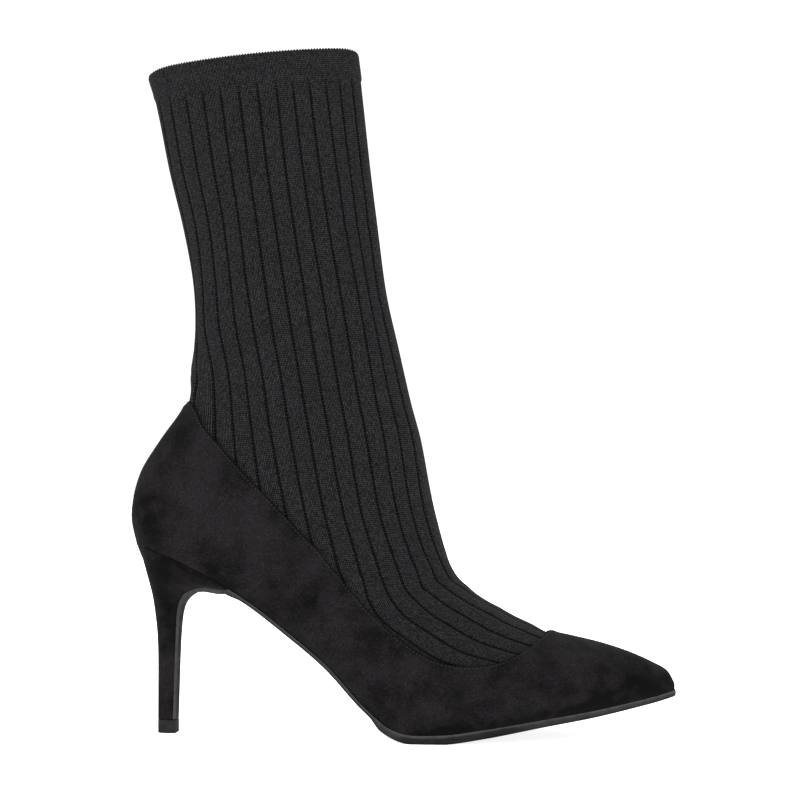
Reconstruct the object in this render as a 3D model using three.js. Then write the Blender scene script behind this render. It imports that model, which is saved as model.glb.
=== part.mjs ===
// High-heeled sock boot, right foot: suede lower, ribbed knit shaft, slim heel.
// Millimetres. X runs from heel to toe, Y from the outer to the inner side, Z up from the floor.
import * as THREE from 'three';

// Driving dimensions of the last and leg
const LAST_LENGTH = 245;
const HEEL_HEIGHT = 84.5;
const TOE_SPRING = 17;
const INSTEP_HEIGHT = 64;
const BALL_WIDTH = 78;
const HEEL_WIDTH = 54;
const LEG_HEIGHT = 222.5;
const LEG_SPAN = 92;
const LEG_DEPTH = 32;

// Walls, gauges and clearances
const FIT_GAP = 0.3;
const SUEDE_WALL = 1.3;
const KNIT_WALL = 1.5;
const RIB_PITCH = 7.8;
const RIB_DEPTH = 0.5;
const CUFF_BAND = 13;
const CUFF_STEP = 0.4;
const CUFF_EDGE = 0.6;
const CUFF_CROWN = 0.9;
const TUCK = 7;
const TUCK_EASE = 1;
const TUCK_FADE = 7;
const INSOLE_GAUGE = 2;
const INSOLE_INSET = 0.7;
const INSOLE_BEVEL = 0.8;
const TREAD_GAUGE = 3.1;
const TOE_GAUGE = 2.1;
const SHANK_GAUGE = 1.7;
const FLAP_GAUGE = 0.8;
const WELT_PROUD = 0.4;
const SOLE_BEVEL = 0.4;
const TREAD_FLAT = 0.3;
const LIP_GAUGE = 0.65;
const TOP_PIECE_HEIGHT = 6;
const TOP_PIECE_BEVEL = 0.3;
const STEM_LENGTH = 7.6;
const STEM_WIDTH = 9.4;

const SOLE_TOP = TREAD_GAUGE + FIT_GAP - TREAD_FLAT;
const SHELL = FIT_GAP + SUEDE_WALL;

const COLOURS = {
  suede: { color: 0x252326, roughness: 0.95, metalness: 0 },
  knit: { color: 0x2a282a, roughness: 1, metalness: 0 },
  board: { color: 0x3a3634, roughness: 0.9, metalness: 0 },
  sole: { color: 0x3b3a3a, roughness: 0.6, metalness: 0 },
  rubber: { color: 0x313131, roughness: 0.55, metalness: 0 },
};

// Leg rings from cuff to ankle: middle is a share of the last's length, span of the leg's span,
// front and back of the leg's height above the seat, half of the leg's depth. Nose and tail say how
// blunt the oval's front and back ends are: 1 is an ellipse's end, and less is blunter.
const LEG_RINGS = [
  { middle: 0.233, span: 1.042, front: 1.005, back: 0.967, half: 0.49, nose: 0.8, tail: 0.8 },
  { middle: 0.249, span: 1.02, front: 0.885, back: 0.87, half: 0.51, nose: 0.8, tail: 0.8 },
  { middle: 0.265, span: 1, front: 0.762, back: 0.762, half: 0.53, nose: 0.82, tail: 0.82 },
  { middle: 0.285, span: 0.967, front: 0.64, back: 0.645, half: 0.55, nose: 0.82, tail: 0.82 },
  { middle: 0.302, span: 0.959, front: 0.511, back: 0.537, half: 0.585, nose: 0.82, tail: 0.82 },
  { middle: 0.316, span: 1.008, front: 0.396, back: 0.447, half: 0.63, nose: 0.82, tail: 0.82 },
  { middle: 0.324, span: 1.082, front: 0.29, back: 0.366, half: 0.7, nose: 0.82, tail: 0.82 },
];

// Foot rings from ankle to toe. Ridge and under give the two ends of a ring: along is a share of
// the last's length, lift of the heel's rise, spring of the toe spring, rise of the instep height.
const RIDGE = [
  { along: 0.546, lift: 0.85, spring: 0, rise: 0.925 },
  { along: 0.564, lift: 0.75, spring: 0, rise: 0.684 },
  { along: 0.58, lift: 0.66, spring: 0, rise: 0.541 },
  { along: 0.595, lift: 0.6, spring: 0, rise: 0.42 },
  { along: 0.604, lift: 0.56, spring: 0, rise: 0.394 },
  { along: 0.616, lift: 0.52, spring: 0, rise: 0.378 },
  { along: 0.631, lift: 0.47, spring: 0, rise: 0.391 },
  { along: 0.647, lift: 0.42, spring: 0, rise: 0.402 },
  { along: 0.667, lift: 0.36, spring: 0, rise: 0.428 },
  { along: 0.69, lift: 0.3, spring: 0, rise: 0.458 },
  { along: 0.716, lift: 0.23, spring: 0, rise: 0.491 },
  { along: 0.747, lift: 0.15, spring: 0, rise: 0.538 },
  { along: 0.78, lift: 0.08, spring: 0, rise: 0.561 },
  { along: 0.822, lift: 0.03, spring: 0.1, rise: 0.559 },
  { along: 0.873, lift: 0, spring: 0.35, rise: 0.483 },
  { along: 0.922, lift: 0, spring: 0.57, rise: 0.363 },
  { along: 0.963, lift: 0, spring: 0.77, rise: 0.241 },
  { along: 0.988, lift: 0, spring: 0.9, rise: 0.152 },
  { along: 1, lift: 0, spring: 1, rise: 0.048 },
];
const UNDER = [
  { along: 0.114, lift: 1, spring: 0, rise: 0.992 },
  { along: 0.069, lift: 1, spring: 0, rise: 0.73 },
  { along: 0.033, lift: 1, spring: 0, rise: 0.498 },
  { along: 0.018, lift: 1, spring: 0, rise: 0.227 },
  { along: 0.029, lift: 1, spring: 0, rise: 0 },
  { along: 0.066, lift: 0.977, spring: 0, rise: 0 },
  { along: 0.15, lift: 0.871, spring: 0, rise: 0 },
  { along: 0.237, lift: 0.723, spring: 0, rise: 0 },
  { along: 0.314, lift: 0.549, spring: 0, rise: 0 },
  { along: 0.388, lift: 0.365, spring: 0, rise: 0 },
  { along: 0.457, lift: 0.15, spring: 0, rise: 0 },
  { along: 0.518, lift: 0.018, spring: 0, rise: 0 },
  { along: 0.584, lift: 0, spring: 0, rise: 0 },
  { along: 0.665, lift: 0, spring: 0.146, rise: 0 },
  { along: 0.763, lift: 0, spring: 0.38, rise: 0 },
  { along: 0.853, lift: 0, spring: 0.573, rise: 0 },
  { along: 0.927, lift: 0, spring: 0.772, rise: 0 },
  { along: 0.973, lift: 0, spring: 0.906, rise: 0 },
  { along: 1, lift: 0, spring: 1, rise: 0 },
];
// Half widths of the same rings, as shares of a width that goes from the heel's to the ball's by
// fore. Sole widths are where the wall meets the sole. Swing moves the ring to the inner side.
const GIRTHS = [
  { fore: 0, outer: 0.454, inner: 0.454, soleOuter: 0, soleInner: 0, swing: 0, nose: 0.8, tail: 0.75 },
  { fore: 0, outer: 0.49, inner: 0.49, soleOuter: 0, soleInner: 0, swing: 0, nose: 0.78, tail: 0.68 },
  { fore: 0, outer: 0.51, inner: 0.51, soleOuter: 0, soleInner: 0, swing: 0, nose: 0.76, tail: 0.62 },
  { fore: 0, outer: 0.52, inner: 0.52, soleOuter: 0, soleInner: 0, swing: 0, nose: 0.75, tail: 0.6 },
  { fore: 0, outer: 0.537, inner: 0.537, soleOuter: 0, soleInner: 0, swing: 0, nose: 0.75, tail: 0.6 },
  { fore: 0.05, outer: 0.534, inner: 0.525, soleOuter: 0.348, soleInner: 0.348, swing: 0, nose: 0.75, tail: 0.58 },
  { fore: 0.1, outer: 0.532, inner: 0.523, soleOuter: 0.461, soleInner: 0.461, swing: 0, nose: 0.75, tail: 0.58 },
  { fore: 0.2, outer: 0.527, inner: 0.502, soleOuter: 0.434, soleInner: 0.425, swing: 0, nose: 0.76, tail: 0.6 },
  { fore: 0.35, outer: 0.521, inner: 0.489, soleOuter: 0.409, soleInner: 0.385, swing: 0.006, nose: 0.78, tail: 0.66 },
  { fore: 0.55, outer: 0.513, inner: 0.476, soleOuter: 0.402, soleInner: 0.35, swing: 0.012, nose: 0.8, tail: 0.72 },
  { fore: 0.75, outer: 0.514, inner: 0.479, soleOuter: 0.424, soleInner: 0.361, swing: 0.013, nose: 0.83, tail: 0.8 },
  { fore: 0.92, outer: 0.512, inner: 0.486, soleOuter: 0.46, soleInner: 0.407, swing: 0.015, nose: 0.86, tail: 0.86 },
  { fore: 1, outer: 0.513, inner: 0.494, soleOuter: 0.468, soleInner: 0.455, swing: 0.02, nose: 0.9, tail: 0.9 },
  { fore: 1, outer: 0.494, inner: 0.494, soleOuter: 0.455, soleInner: 0.455, swing: 0.032, nose: 0.92, tail: 0.92 },
  { fore: 1, outer: 0.41, inner: 0.429, soleOuter: 0.372, soleInner: 0.397, swing: 0.05, nose: 0.92, tail: 0.92 },
  { fore: 1, outer: 0.301, inner: 0.314, soleOuter: 0.276, soleInner: 0.288, swing: 0.063, nose: 0.9, tail: 0.9 },
  { fore: 1, outer: 0.192, inner: 0.199, soleOuter: 0.173, soleInner: 0.179, swing: 0.07, nose: 0.88, tail: 0.88 },
  { fore: 1, outer: 0.106, inner: 0.109, soleOuter: 0.094, soleInner: 0.096, swing: 0.073, nose: 0.85, tail: 0.85 },
  { fore: 1, outer: 0, inner: 0, soleOuter: 0, soleInner: 0, swing: 0.074, nose: 0.85, tail: 0.85 },
];

// Topline of the suede: ring number, and how far down from the ridge, as a share of the ring's girth
const TOPLINE = [
  { ring: 6.85, down: 1 },
  { ring: 7, down: 0.895 },
  { ring: 7.5, down: 0.797 },
  { ring: 8, down: 0.686 },
  { ring: 9, down: 0.53 },
  { ring: 10, down: 0.426 },
  { ring: 11, down: 0.395 },
  { ring: 12, down: 0.409 },
  { ring: 13, down: 0.447 },
  { ring: 14, down: 0.489 },
  { ring: 15, down: 0.513 },
  { ring: 16, down: 0.518 },
  { ring: 17, down: 0.472 },
  { ring: 18, down: 0.393 },
  { ring: 18.5, down: 0.335 },
  { ring: 18.8, down: 0.235 },
  { ring: 18.95, down: 0 },
];

// How the knit lies round the rings, one row to a ring from the cuff on: shares of the ring's length
// from the ridge at 1, 3, 6, 9 and 12 fourteenths of the fabric's half width at the cuff
const KNIT_MARKS = [0, 1 / 14, 3 / 14, 6 / 14, 9 / 14, 12 / 14, 1];
const KNIT_LIES = [
  { near: 0.075, fore: 0.189, side: 0.399, rear: 0.634, far: 0.866 },
  { near: 0.079, fore: 0.195, side: 0.404, rear: 0.641, far: 0.873 },
  { near: 0.08, fore: 0.193, side: 0.411, rear: 0.646, far: 0.873 },
  { near: 0.084, fore: 0.195, side: 0.418, rear: 0.657, far: 0.868 },
  { near: 0.083, fore: 0.184, side: 0.415, rear: 0.664, far: 0.88 },
  { near: 0.082, fore: 0.191, side: 0.414, rear: 0.652, far: 0.882 },
  { near: 0.079, fore: 0.196, side: 0.404, rear: 0.621, far: 0.828 },
  { near: 0.08, fore: 0.198, side: 0.392, rear: 0.6, far: 0.797 },
  { near: 0.082, fore: 0.182, side: 0.353, rear: 0.535, far: 0.727 },
  { near: 0.077, fore: 0.17, side: 0.328, rear: 0.493, far: 0.684 },
  { near: 0.067, fore: 0.158, side: 0.31, rear: 0.476, far: 0.665 },
  { near: 0.065, fore: 0.16, side: 0.312, rear: 0.482, far: 0.671 },
  { near: 0.079, fore: 0.191, side: 0.367, rear: 0.554, far: 0.761 },
  { near: 0.074, fore: 0.236, side: 0.433, rear: 0.638, far: 0.847 },
  { near: 0.07, fore: 0.266, side: 0.523, rear: 0.732, far: 0.92 },
  { near: 0.069, fore: 0.286, side: 0.592, rear: 0.785, far: 0.946 },
  { near: 0.073, fore: 0.298, side: 0.603, rear: 0.802, far: 0.959 },
  { near: 0.072, fore: 0.292, side: 0.576, rear: 0.78, far: 0.949 },
  { near: 0.065, fore: 0.28, side: 0.534, rear: 0.741, far: 0.914 },
  { near: 0.058, fore: 0.273, side: 0.537, rear: 0.75, far: 0.935 },
];

// Heel sections from top piece to lip. Ups are shares of the heel block's height, back and front
// of the heel's width beyond the stem, wide of the same beyond the stem's half width. Face is the
// breast's half width as a share of the section's.
const HEEL_SECTIONS = [
  { backUp: 0, frontUp: 0, back: 0, front: 0, wide: 0, face: 0.86 },
  { backUp: 0.175, frontUp: 0.175, back: 0, front: 0.008, wide: 0.004, face: 0.8 },
  { backUp: 0.354, frontUp: 0.354, back: 0, front: 0.015, wide: 0.017, face: 0.72 },
  { backUp: 0.495, frontUp: 0.508, back: 0.006, front: 0.024, wide: 0.05, face: 0.61 },
  { backUp: 0.61, frontUp: 0.623, back: 0.021, front: 0.039, wide: 0.104, face: 0.6 },
  { backUp: 0.705, frontUp: 0.691, back: 0.037, front: 0.074, wide: 0.181, face: 0.57 },
  { backUp: 0.783, frontUp: 0.738, back: 0.061, front: 0.148, wide: 0.265, face: 0.66 },
  { backUp: 0.853, frontUp: 0.765, back: 0.089, front: 0.294, wide: 0.348, face: 0.84 },
  { backUp: 0.923, frontUp: 0.758, back: 0.12, front: 0.439, wide: 0.395, face: 0.95 },
];
const HEEL_BLUNT = 0.8;
const FLARE_SECTION = 4;
const STEM_BACK = 0.059;
const LIP_RING = 13.66;
const SHANK_RING = 14;
const TREAD_START = 17.2;
const TREAD_FULL = 17.6;
const BALL_RING = 19;

// How finely the rings are cut into faces
const RUN_STEPS = 72;
const UPPER_COLUMNS = 9;
const OUTER = -1;
const INNER = 1;

const SEAT_RING = LEG_RINGS.length + UNDER.findIndex((row) => row.lift === 1 && row.rise === 0);
const TOE_RING = LEG_RINGS.length + RIDGE.length - 1;

function legRing(row) {
  const middle = row.middle * LAST_LENGTH;
  const reach = row.span * LEG_SPAN / 2;
  return {
    frontX: middle + reach,
    frontZ: HEEL_HEIGHT + row.front * LEG_HEIGHT,
    underX: middle - reach,
    underZ: HEEL_HEIGHT + row.back * LEG_HEIGHT,
    outer: row.half * LEG_DEPTH,
    inner: row.half * LEG_DEPTH,
    soleOuter: 0,
    soleInner: 0,
    swing: 0,
    nose: row.nose,
    tail: row.tail,
  };
}

function footHeight(row) {
  const heelRise = HEEL_HEIGHT - SOLE_TOP;
  return SOLE_TOP + row.lift * heelRise + row.spring * TOE_SPRING + row.rise * INSTEP_HEIGHT;
}

function footRing(ridge, under, girth) {
  const width = HEEL_WIDTH + girth.fore * (BALL_WIDTH - HEEL_WIDTH);
  return {
    frontX: ridge.along * LAST_LENGTH,
    frontZ: footHeight(ridge),
    underX: under.along * LAST_LENGTH,
    underZ: footHeight(under),
    outer: girth.outer * width,
    inner: girth.inner * width,
    soleOuter: girth.soleOuter * width,
    soleInner: girth.soleInner * width,
    swing: girth.swing * BALL_WIDTH,
    nose: girth.nose,
    tail: girth.tail,
  };
}

const RINGS = [
  ...LEG_RINGS.map(legRing),
  ...RIDGE.map((ridge, index) => footRing(ridge, UNDER[index], GIRTHS[index])),
];

// A smooth curve through a list of numbers, with free ends
function through(values, at) {
  const last = values.length - 1;
  const index = Math.min(Math.max(Math.floor(at), 0), last - 1);
  const share = at - index;
  const from = values[index];
  const to = values[index + 1];
  const before = index > 0 ? values[index - 1] : 2 * from - to;
  const after = index + 2 <= last ? values[index + 2] : 2 * to - from;
  const slope = to - before;
  const bend = 2 * before - 5 * from + 4 * to - after;
  const twist = 3 * from - before - 3 * to + after;
  return from + 0.5 * share * (slope + share * (bend + share * twist));
}

function column(name, square = false) {
  return RINGS.map((ring) => (square ? ring[name] ** 2 : ring[name]));
}

// Widths are run through their squares, so that they close round at toe and seat
const FRONT_X = column('frontX');
const FRONT_Z = column('frontZ');
const BACK_X = column('underX').slice(0, SEAT_RING + 1);
const BACK_Z = column('underZ').slice(0, SEAT_RING + 1);
const SOLE_X = column('underX').slice(SEAT_RING);
const SOLE_Z = column('underZ').slice(SEAT_RING);
const SWING = column('swing');
const NOSE = column('nose');
const TAIL = column('tail');
const HALF = { [OUTER]: column('outer', true), [INNER]: column('inner', true) };
const SOLE_HALF = {
  [OUTER]: column('soleOuter', true).slice(SEAT_RING),
  [INNER]: column('soleInner', true).slice(SEAT_RING),
};

function frontOf(ring) {
  return { x: through(FRONT_X, ring), z: through(FRONT_Z, ring) };
}

function underOf(ring) {
  if (ring < SEAT_RING) {
    return { x: through(BACK_X, ring), z: through(BACK_Z, ring) };
  }
  return { x: through(SOLE_X, ring - SEAT_RING), z: through(SOLE_Z, ring - SEAT_RING) };
}

// Half an oval from its front (0) to its back (1) with a flat end: share along it and half width
function halfOval(turn, wide, face, nose, tail) {
  const end = wide > face ? Math.PI - Math.asin((face / wide) ** (1 / tail)) : Math.PI / 2;
  const angle = turn * end;
  const along = (1 - Math.cos(angle)) / (1 - Math.cos(end));
  const blunt = nose + (tail - nose) * along;
  const width = turn > 0 && angle < Math.PI ? wide * Math.sin(angle) ** blunt : 0;
  return { along, width };
}

// Length of half a ring as it would be if it closed round under the foot
function closedGirth(chord, wide, nose, tail) {
  let length = 0;
  let before = halfOval(0, wide, 0, nose, tail);
  for (let step = 1; step <= RUN_STEPS; step += 1) {
    const here = halfOval(step / RUN_STEPS, wide, 0, nose, tail);
    length += Math.hypot((here.along - before.along) * chord, here.width - before.width);
    before = here;
  }
  return length;
}

const ringStore = new Map();

// Lengths under this count as none, in millimetres
const SEAM_REACH = 1e-6;

// One half of a ring as points with their run, the distance along the ring from the ridge
function halfRing(ring, side) {
  const key = `${ring}|${side}`;
  if (ringStore.has(key)) {
    return ringStore.get(key);
  }
  const front = frontOf(ring);
  const under = underOf(ring);
  const swing = through(SWING, ring);
  const wide = Math.sqrt(Math.max(through(HALF[side], ring), 0));
  const sole = ring > SEAT_RING ? Math.sqrt(Math.max(through(SOLE_HALF[side], ring - SEAT_RING), 0)) : 0;
  const nose = through(NOSE, ring);
  const tail = through(TAIL, ring);
  const points = [];
  let run = 0;
  for (let step = 0; step <= RUN_STEPS; step += 1) {
    const { along, width } = halfOval(step / RUN_STEPS, wide, sole, nose, tail);
    const seam = step === RUN_STEPS ? sole : width;
    const crown = CUFF_CROWN * Math.max(1 - ring, 0) * Math.sin(Math.PI * along);
    const point = new THREE.Vector3(
      THREE.MathUtils.lerp(front.x, under.x, along),
      swing + side * seam,
      THREE.MathUtils.lerp(front.z, under.z, along) + crown,
    );
    run += step > 0 ? point.distanceTo(points[step - 1].point) : 0;
    points.push({ point, run });
  }
  const chord = Math.hypot(under.x - front.x, under.z - front.z);
  const half = { points, length: run, girth: closedGirth(chord, wide, nose, tail) };
  ringStore.set(key, half);
  return half;
}

function pointAt(ring, run, side) {
  const { points, length } = halfRing(ring, side);
  const reach = THREE.MathUtils.clamp(run, 0, length);
  let index = 0;
  while (index < RUN_STEPS - 1 && points[index + 1].run < reach) {
    index += 1;
  }
  const from = points[index];
  const to = points[index + 1];
  const share = (reach - from.run) / Math.max(to.run - from.run, SEAM_REACH);
  return from.point.clone().lerp(to.point, share);
}

const RING_NUDGE = 0.04;
const RUN_NUDGE = 0.9;

// Direction of a curve in the side view at one ring, as a unit vector
function sideTangent(curve, ring, low, high) {
  const before = curve(Math.max(ring - RING_NUDGE, low));
  const after = curve(Math.min(ring + RING_NUDGE, high));
  return new THREE.Vector3(after.x - before.x, 0, after.z - before.z).normalize();
}

// The sole's own outward direction: down, square to the seat, shank and tread
function soleDown(ring) {
  const forward = sideTangent(underOf, Math.max(ring, SEAT_RING), SEAT_RING, TOE_RING);
  return new THREE.Vector3(forward.z, 0, -forward.x);
}

const FEATHER_RISE = 5;

// Height of a point of the skin over the plane of the sole at its ring. Rings behind the seat
// count as well above it.
function riseAt(ring, run, side) {
  if (ring < SEAT_RING) {
    return FEATHER_RISE;
  }
  const under = underOf(ring);
  return new THREE.Vector3(under.x, 0, under.z).sub(pointAt(ring, run, side)).dot(soleDown(ring));
}

// Outward direction of the skin. On the two seams it lies in the shoe's middle plane, and at the
// feather edge it lies in the plane of the sole.
function outwardAt(ring, run, side) {
  const { length } = halfRing(ring, side);
  const onRidge = run < SEAM_REACH;
  const onBack = run > length - SEAM_REACH && ring <= SEAT_RING;
  let outward;
  if (ring > TOE_RING - SEAM_REACH) {
    const front = frontOf(TOE_RING);
    const under = underOf(TOE_RING);
    outward = new THREE.Vector3(front.z - under.z, 0, under.x - front.x).normalize();
  } else if (onRidge) {
    const forward = sideTangent(frontOf, ring, 0, TOE_RING);
    outward = new THREE.Vector3(-forward.z, 0, forward.x);
  } else if (onBack) {
    const down = sideTangent(underOf, ring, 0, SEAT_RING);
    outward = new THREE.Vector3(down.z, 0, -down.x);
  } else {
    const lowRing = Math.max(ring - RING_NUDGE, ring > SEAT_RING ? SEAT_RING : 0);
    const highRing = Math.min(ring + RING_NUDGE, TOE_RING);
    const share = run / length;
    const lowRun = share * halfRing(lowRing, side).length;
    const highRun = share * halfRing(highRing, side).length;
    const alongRings = pointAt(highRing, highRun, side).sub(pointAt(lowRing, lowRun, side));
    const aroundRing = pointAt(ring, run + RUN_NUDGE, side).sub(pointAt(ring, run - RUN_NUDGE, side));
    outward = aroundRing.cross(alongRings).multiplyScalar(-side).normalize();
  }
  if (onBack && ring === SEAT_RING) {
    outward = sideTangent(underOf, SEAT_RING, SEAT_RING, TOE_RING).negate();
  }
  const near = THREE.MathUtils.clamp(1 - riseAt(ring, run, side) / FEATHER_RISE, 0, 1);
  const down = soleDown(ring);
  return outward.addScaledVector(down, -near * outward.dot(down)).normalize();
}

function skin(ring, run, side, proud) {
  return pointAt(ring, run, side).addScaledVector(outwardAt(ring, run, side), proud);
}

// A point of the feather edge, where upper and sole meet, moved out and down
function featherEdge(ring, side, proud, depth) {
  return skin(ring, halfRing(ring, side).length, side, proud).addScaledVector(soleDown(ring), depth);
}

const CORNERS_PER_MM = 20000;

// Gathers faces whose corners are shared, and drops those with no area
class Shell {
  constructor() {
    this.places = new Map();
    this.corners = [];
    this.faces = [];
  }

  corner(point) {
    const key = point.toArray().map((value) => Math.round(value * CORNERS_PER_MM)).join();
    if (!this.places.has(key)) {
      this.places.set(key, this.places.size);
      this.corners.push(point.x, point.y, point.z);
    }
    return this.places.get(key);
  }

  face(first, second, third, flip) {
    const [a, b, c] = [first, second, third].map((point) => this.corner(point));
    if (a !== b && b !== c && c !== a) {
      this.faces.push(...(flip ? [a, c, b] : [a, b, c]));
    }
  }

  // Rows of points joined by faces, two to each four points, split along the shorter diagonal
  sheet(rows, flip) {
    for (let row = 0; row + 1 < rows.length; row += 1) {
      for (let place = 0; place + 1 < rows[row].length; place += 1) {
        const [a, b] = [rows[row][place], rows[row][place + 1]];
        const [d, c] = [rows[row + 1][place], rows[row + 1][place + 1]];
        if (a.distanceToSquared(c) <= b.distanceToSquared(d)) {
          this.face(a, b, c, flip);
          this.face(a, c, d, flip);
        } else {
          this.face(a, b, d, flip);
          this.face(b, c, d, flip);
        }
      }
    }
  }

  // Joins a fine row to a row with half as many steps
  stitch(fine, coarse, flip) {
    for (let place = 0; place + 1 < coarse.length; place += 1) {
      const middle = fine[2 * place + 1];
      this.face(fine[2 * place], middle, coarse[place], flip);
      this.face(middle, coarse[place + 1], coarse[place], flip);
      this.face(middle, fine[2 * place + 2], coarse[place + 1], flip);
    }
  }

  geometry() {
    const geometry = new THREE.BufferGeometry();
    geometry.setAttribute('position', new THREE.Float32BufferAttribute(this.corners, 3));
    geometry.setIndex(this.faces);
    geometry.computeVertexNormals();
    return geometry;
  }
}

const TOPLINE_END = TOPLINE.length - 1;
const TOPLINE_RINGS = TOPLINE.map((row) => row.ring);
const TOPLINE_DOWNS = TOPLINE.map((row) => row.down);

function toplineAt(place, side) {
  const ring = through(TOPLINE_RINGS, place);
  const { girth, length } = halfRing(ring, side);
  const run = THREE.MathUtils.clamp(through(TOPLINE_DOWNS, place) * girth, 0, length);
  return { ring, run };
}

// The knit's lower edge: the topline moved down the foot by the tuck, inside the suede. Both sides
// share the outer side's rings, so that they meet on the ridge.
function tuckedAt(place, side) {
  const here = toplineAt(place, side);
  const before = toplineAt(Math.max(place - RING_NUDGE, 0), side);
  const after = toplineAt(Math.min(place + RING_NUDGE, TOPLINE_END), side);
  const low = pointAt(here.ring - RING_NUDGE, here.run, side);
  const high = pointAt(here.ring + RING_NUDGE, here.run, side);
  const ringLength = low.distanceTo(high) / (2 * RING_NUDGE);
  const across = (after.ring - before.ring) * ringLength;
  const along = after.run - before.run;
  const size = Math.hypot(across, along);
  const ring = side === OUTER ? here.ring - TUCK * along / size / ringLength : tuckedAt(place, OUTER).ring;
  const { length } = halfRing(ring, side);
  const atFront = place === TOPLINE_END;
  const run = place === 0 ? length : THREE.MathUtils.clamp(here.run + TUCK * across / size, 0, length);
  return { ring, run: atFront ? 0 : run };
}

// How far below the topline a point lies along its ring: the place on the topline with the same
// ring is found by halving, because ring numbers only grow along it
function belowTopline(ring, run, side) {
  if (ring <= TOPLINE_RINGS[0]) {
    const top = underOf(TOPLINE_RINGS[0]);
    return -pointAt(ring, run, side).distanceTo(new THREE.Vector3(top.x, 0, top.z));
  }
  let low = 0;
  let high = TOPLINE_END;
  while (high - low > RING_NUDGE) {
    const middle = (low + high) / 2;
    if (through(TOPLINE_RINGS, middle) < ring) {
      low = middle;
    } else {
      high = middle;
    }
  }
  return run - toplineAt((low + high) / 2, side).run;
}

// The suede presses the knit in where it covers it, alike on both sides of the ridge
function tuckEase(ring, run, side) {
  const depth = belowTopline(ring, run, run < SEAM_REACH ? OUTER : side);
  return TUCK_EASE * THREE.MathUtils.smoothstep(depth, -TUCK_FADE, 0);
}

// Rows of faces of the foot: along the topline, closer at its two ends and over the seat, and then
// from the throat to the toe. The sole and the insole are cut at the same rings.
const SEAT_ROWS = [0.04, 0.16, 0.36, 0.64];
const PLAIN_ROWS = [0.5];
const LAST_ROW = 0.75;
const TOE_ROWS = [0.06, 0.15, 0.24, 0.33, 0.42, 0.5, 0.58, 0.66, 0.74, 0.81, 0.87, 0.92, 0.96, 0.985, 1];

function toplinePlaces() {
  const places = [];
  for (let index = 0; index < TOPLINE_END; index += 1) {
    const overSeat = TOPLINE[index].ring === SEAT_RING;
    places.push(index, ...(overSeat ? SEAT_ROWS : PLAIN_ROWS).map((share) => index + share));
  }
  places.push(TOPLINE_END - 1 + LAST_ROW, TOPLINE_END);
  return places;
}

const TOPLINE_PLACES = toplinePlaces();
const TOPLINE_ROW_RINGS = TOPLINE_PLACES.map((place) => through(TOPLINE_RINGS, place));
const THROAT_RING = TOPLINE_RINGS[TOPLINE_END];
const TOE_ROW_RINGS = TOE_ROWS.map((share) => THREE.MathUtils.lerp(THROAT_RING, TOE_RING, share));
const FOOT_RINGS = [...TOPLINE_ROW_RINGS, ...TOE_ROW_RINGS];

function upperRows(side, proud) {
  return FOOT_RINGS.map((ring, index) => {
    const { length } = halfRing(ring, side);
    const run = index < TOPLINE_PLACES.length ? toplineAt(TOPLINE_PLACES[index], side).run : 0;
    const row = [];
    for (let place = 0; place <= UPPER_COLUMNS; place += 1) {
      const reach = THREE.MathUtils.lerp(run, length, place / UPPER_COLUMNS);
      row.push(skin(ring, reach, side, proud));
    }
    return { ring, row };
  });
}

// Suede lower: one wall, open at the topline and underneath
function upper() {
  const shell = new Shell();
  for (const side of [OUTER, INNER]) {
    const flip = side === INNER;
    const outside = upperRows(side, SHELL);
    const inside = upperRows(side, FIT_GAP);
    shell.sheet(outside.map(({ row }) => row), flip);
    shell.sheet(inside.map(({ row }) => row), !flip);
    const alongTopline = (rows) => rows.slice(0, TOPLINE_PLACES.length).map(({ row }) => row[0]);
    const edge = [outside, inside].map(alongTopline);
    shell.sheet(edge, flip);
    const onSole = ({ ring }) => ring >= SEAT_RING - SEAM_REACH;
    const feather = [outside, inside].map((rows) => rows.filter(onSole).map(({ row }) => row[UPPER_COLUMNS]));
    shell.sheet(feather, !flip);
  }
  return shell.geometry();
}

// Columns of the knit lie on its ribs, groove and crown by turns from the ridge
const RIB_COUNT = Math.round(halfRing(0, OUTER).length / RIB_PITCH);
const KNIT_COLUMNS = 2 * RIB_COUNT;
const KNIT_LIE_NAMES = ['near', 'fore', 'side', 'rear', 'far'];
const KNIT_LIE_RUNS = new Map([OUTER, INNER].map((side) => {
  const lengths = KNIT_LIES.map((row, ring) => halfRing(ring, side).length);
  return [side, KNIT_LIE_NAMES.map((name) => KNIT_LIES.map((row, ring) => row[name] * lengths[ring]))];
}));

// Run of a column: its share of the fabric, laid round the ring
function ribRun(index, ring, side) {
  const fabric = index / KNIT_COLUMNS;
  const laid = KNIT_LIE_RUNS.get(side).map((column) => through(column, ring));
  const runs = [0, ...laid, halfRing(ring, side).length];
  const mark = Math.max(KNIT_MARKS.findIndex((value) => value >= fabric), 1);
  const reach = THREE.MathUtils.inverseLerp(KNIT_MARKS[mark - 1], KNIT_MARKS[mark], fabric);
  return THREE.MathUtils.lerp(runs[mark - 1], runs[mark], reach);
}

// The knit needs fewer rows along its hidden edge, and as many as the suede near the two ends
const KNIT_BACK_PLACES = 2;
const KNIT_FRONT_PLACES = 3;
const KNIT_PLACES = TOPLINE_PLACES.filter((place) => {
  const whole = Number.isInteger(place);
  const nearEnd = place < KNIT_BACK_PLACES || place > TOPLINE_END - KNIT_FRONT_PLACES;
  return whole || nearEnd;
});

// The straight leg takes a row at each ring, and the ankle two
const ANKLE_RING = 3;
const ANKLE_STEP = 0.5;

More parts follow.
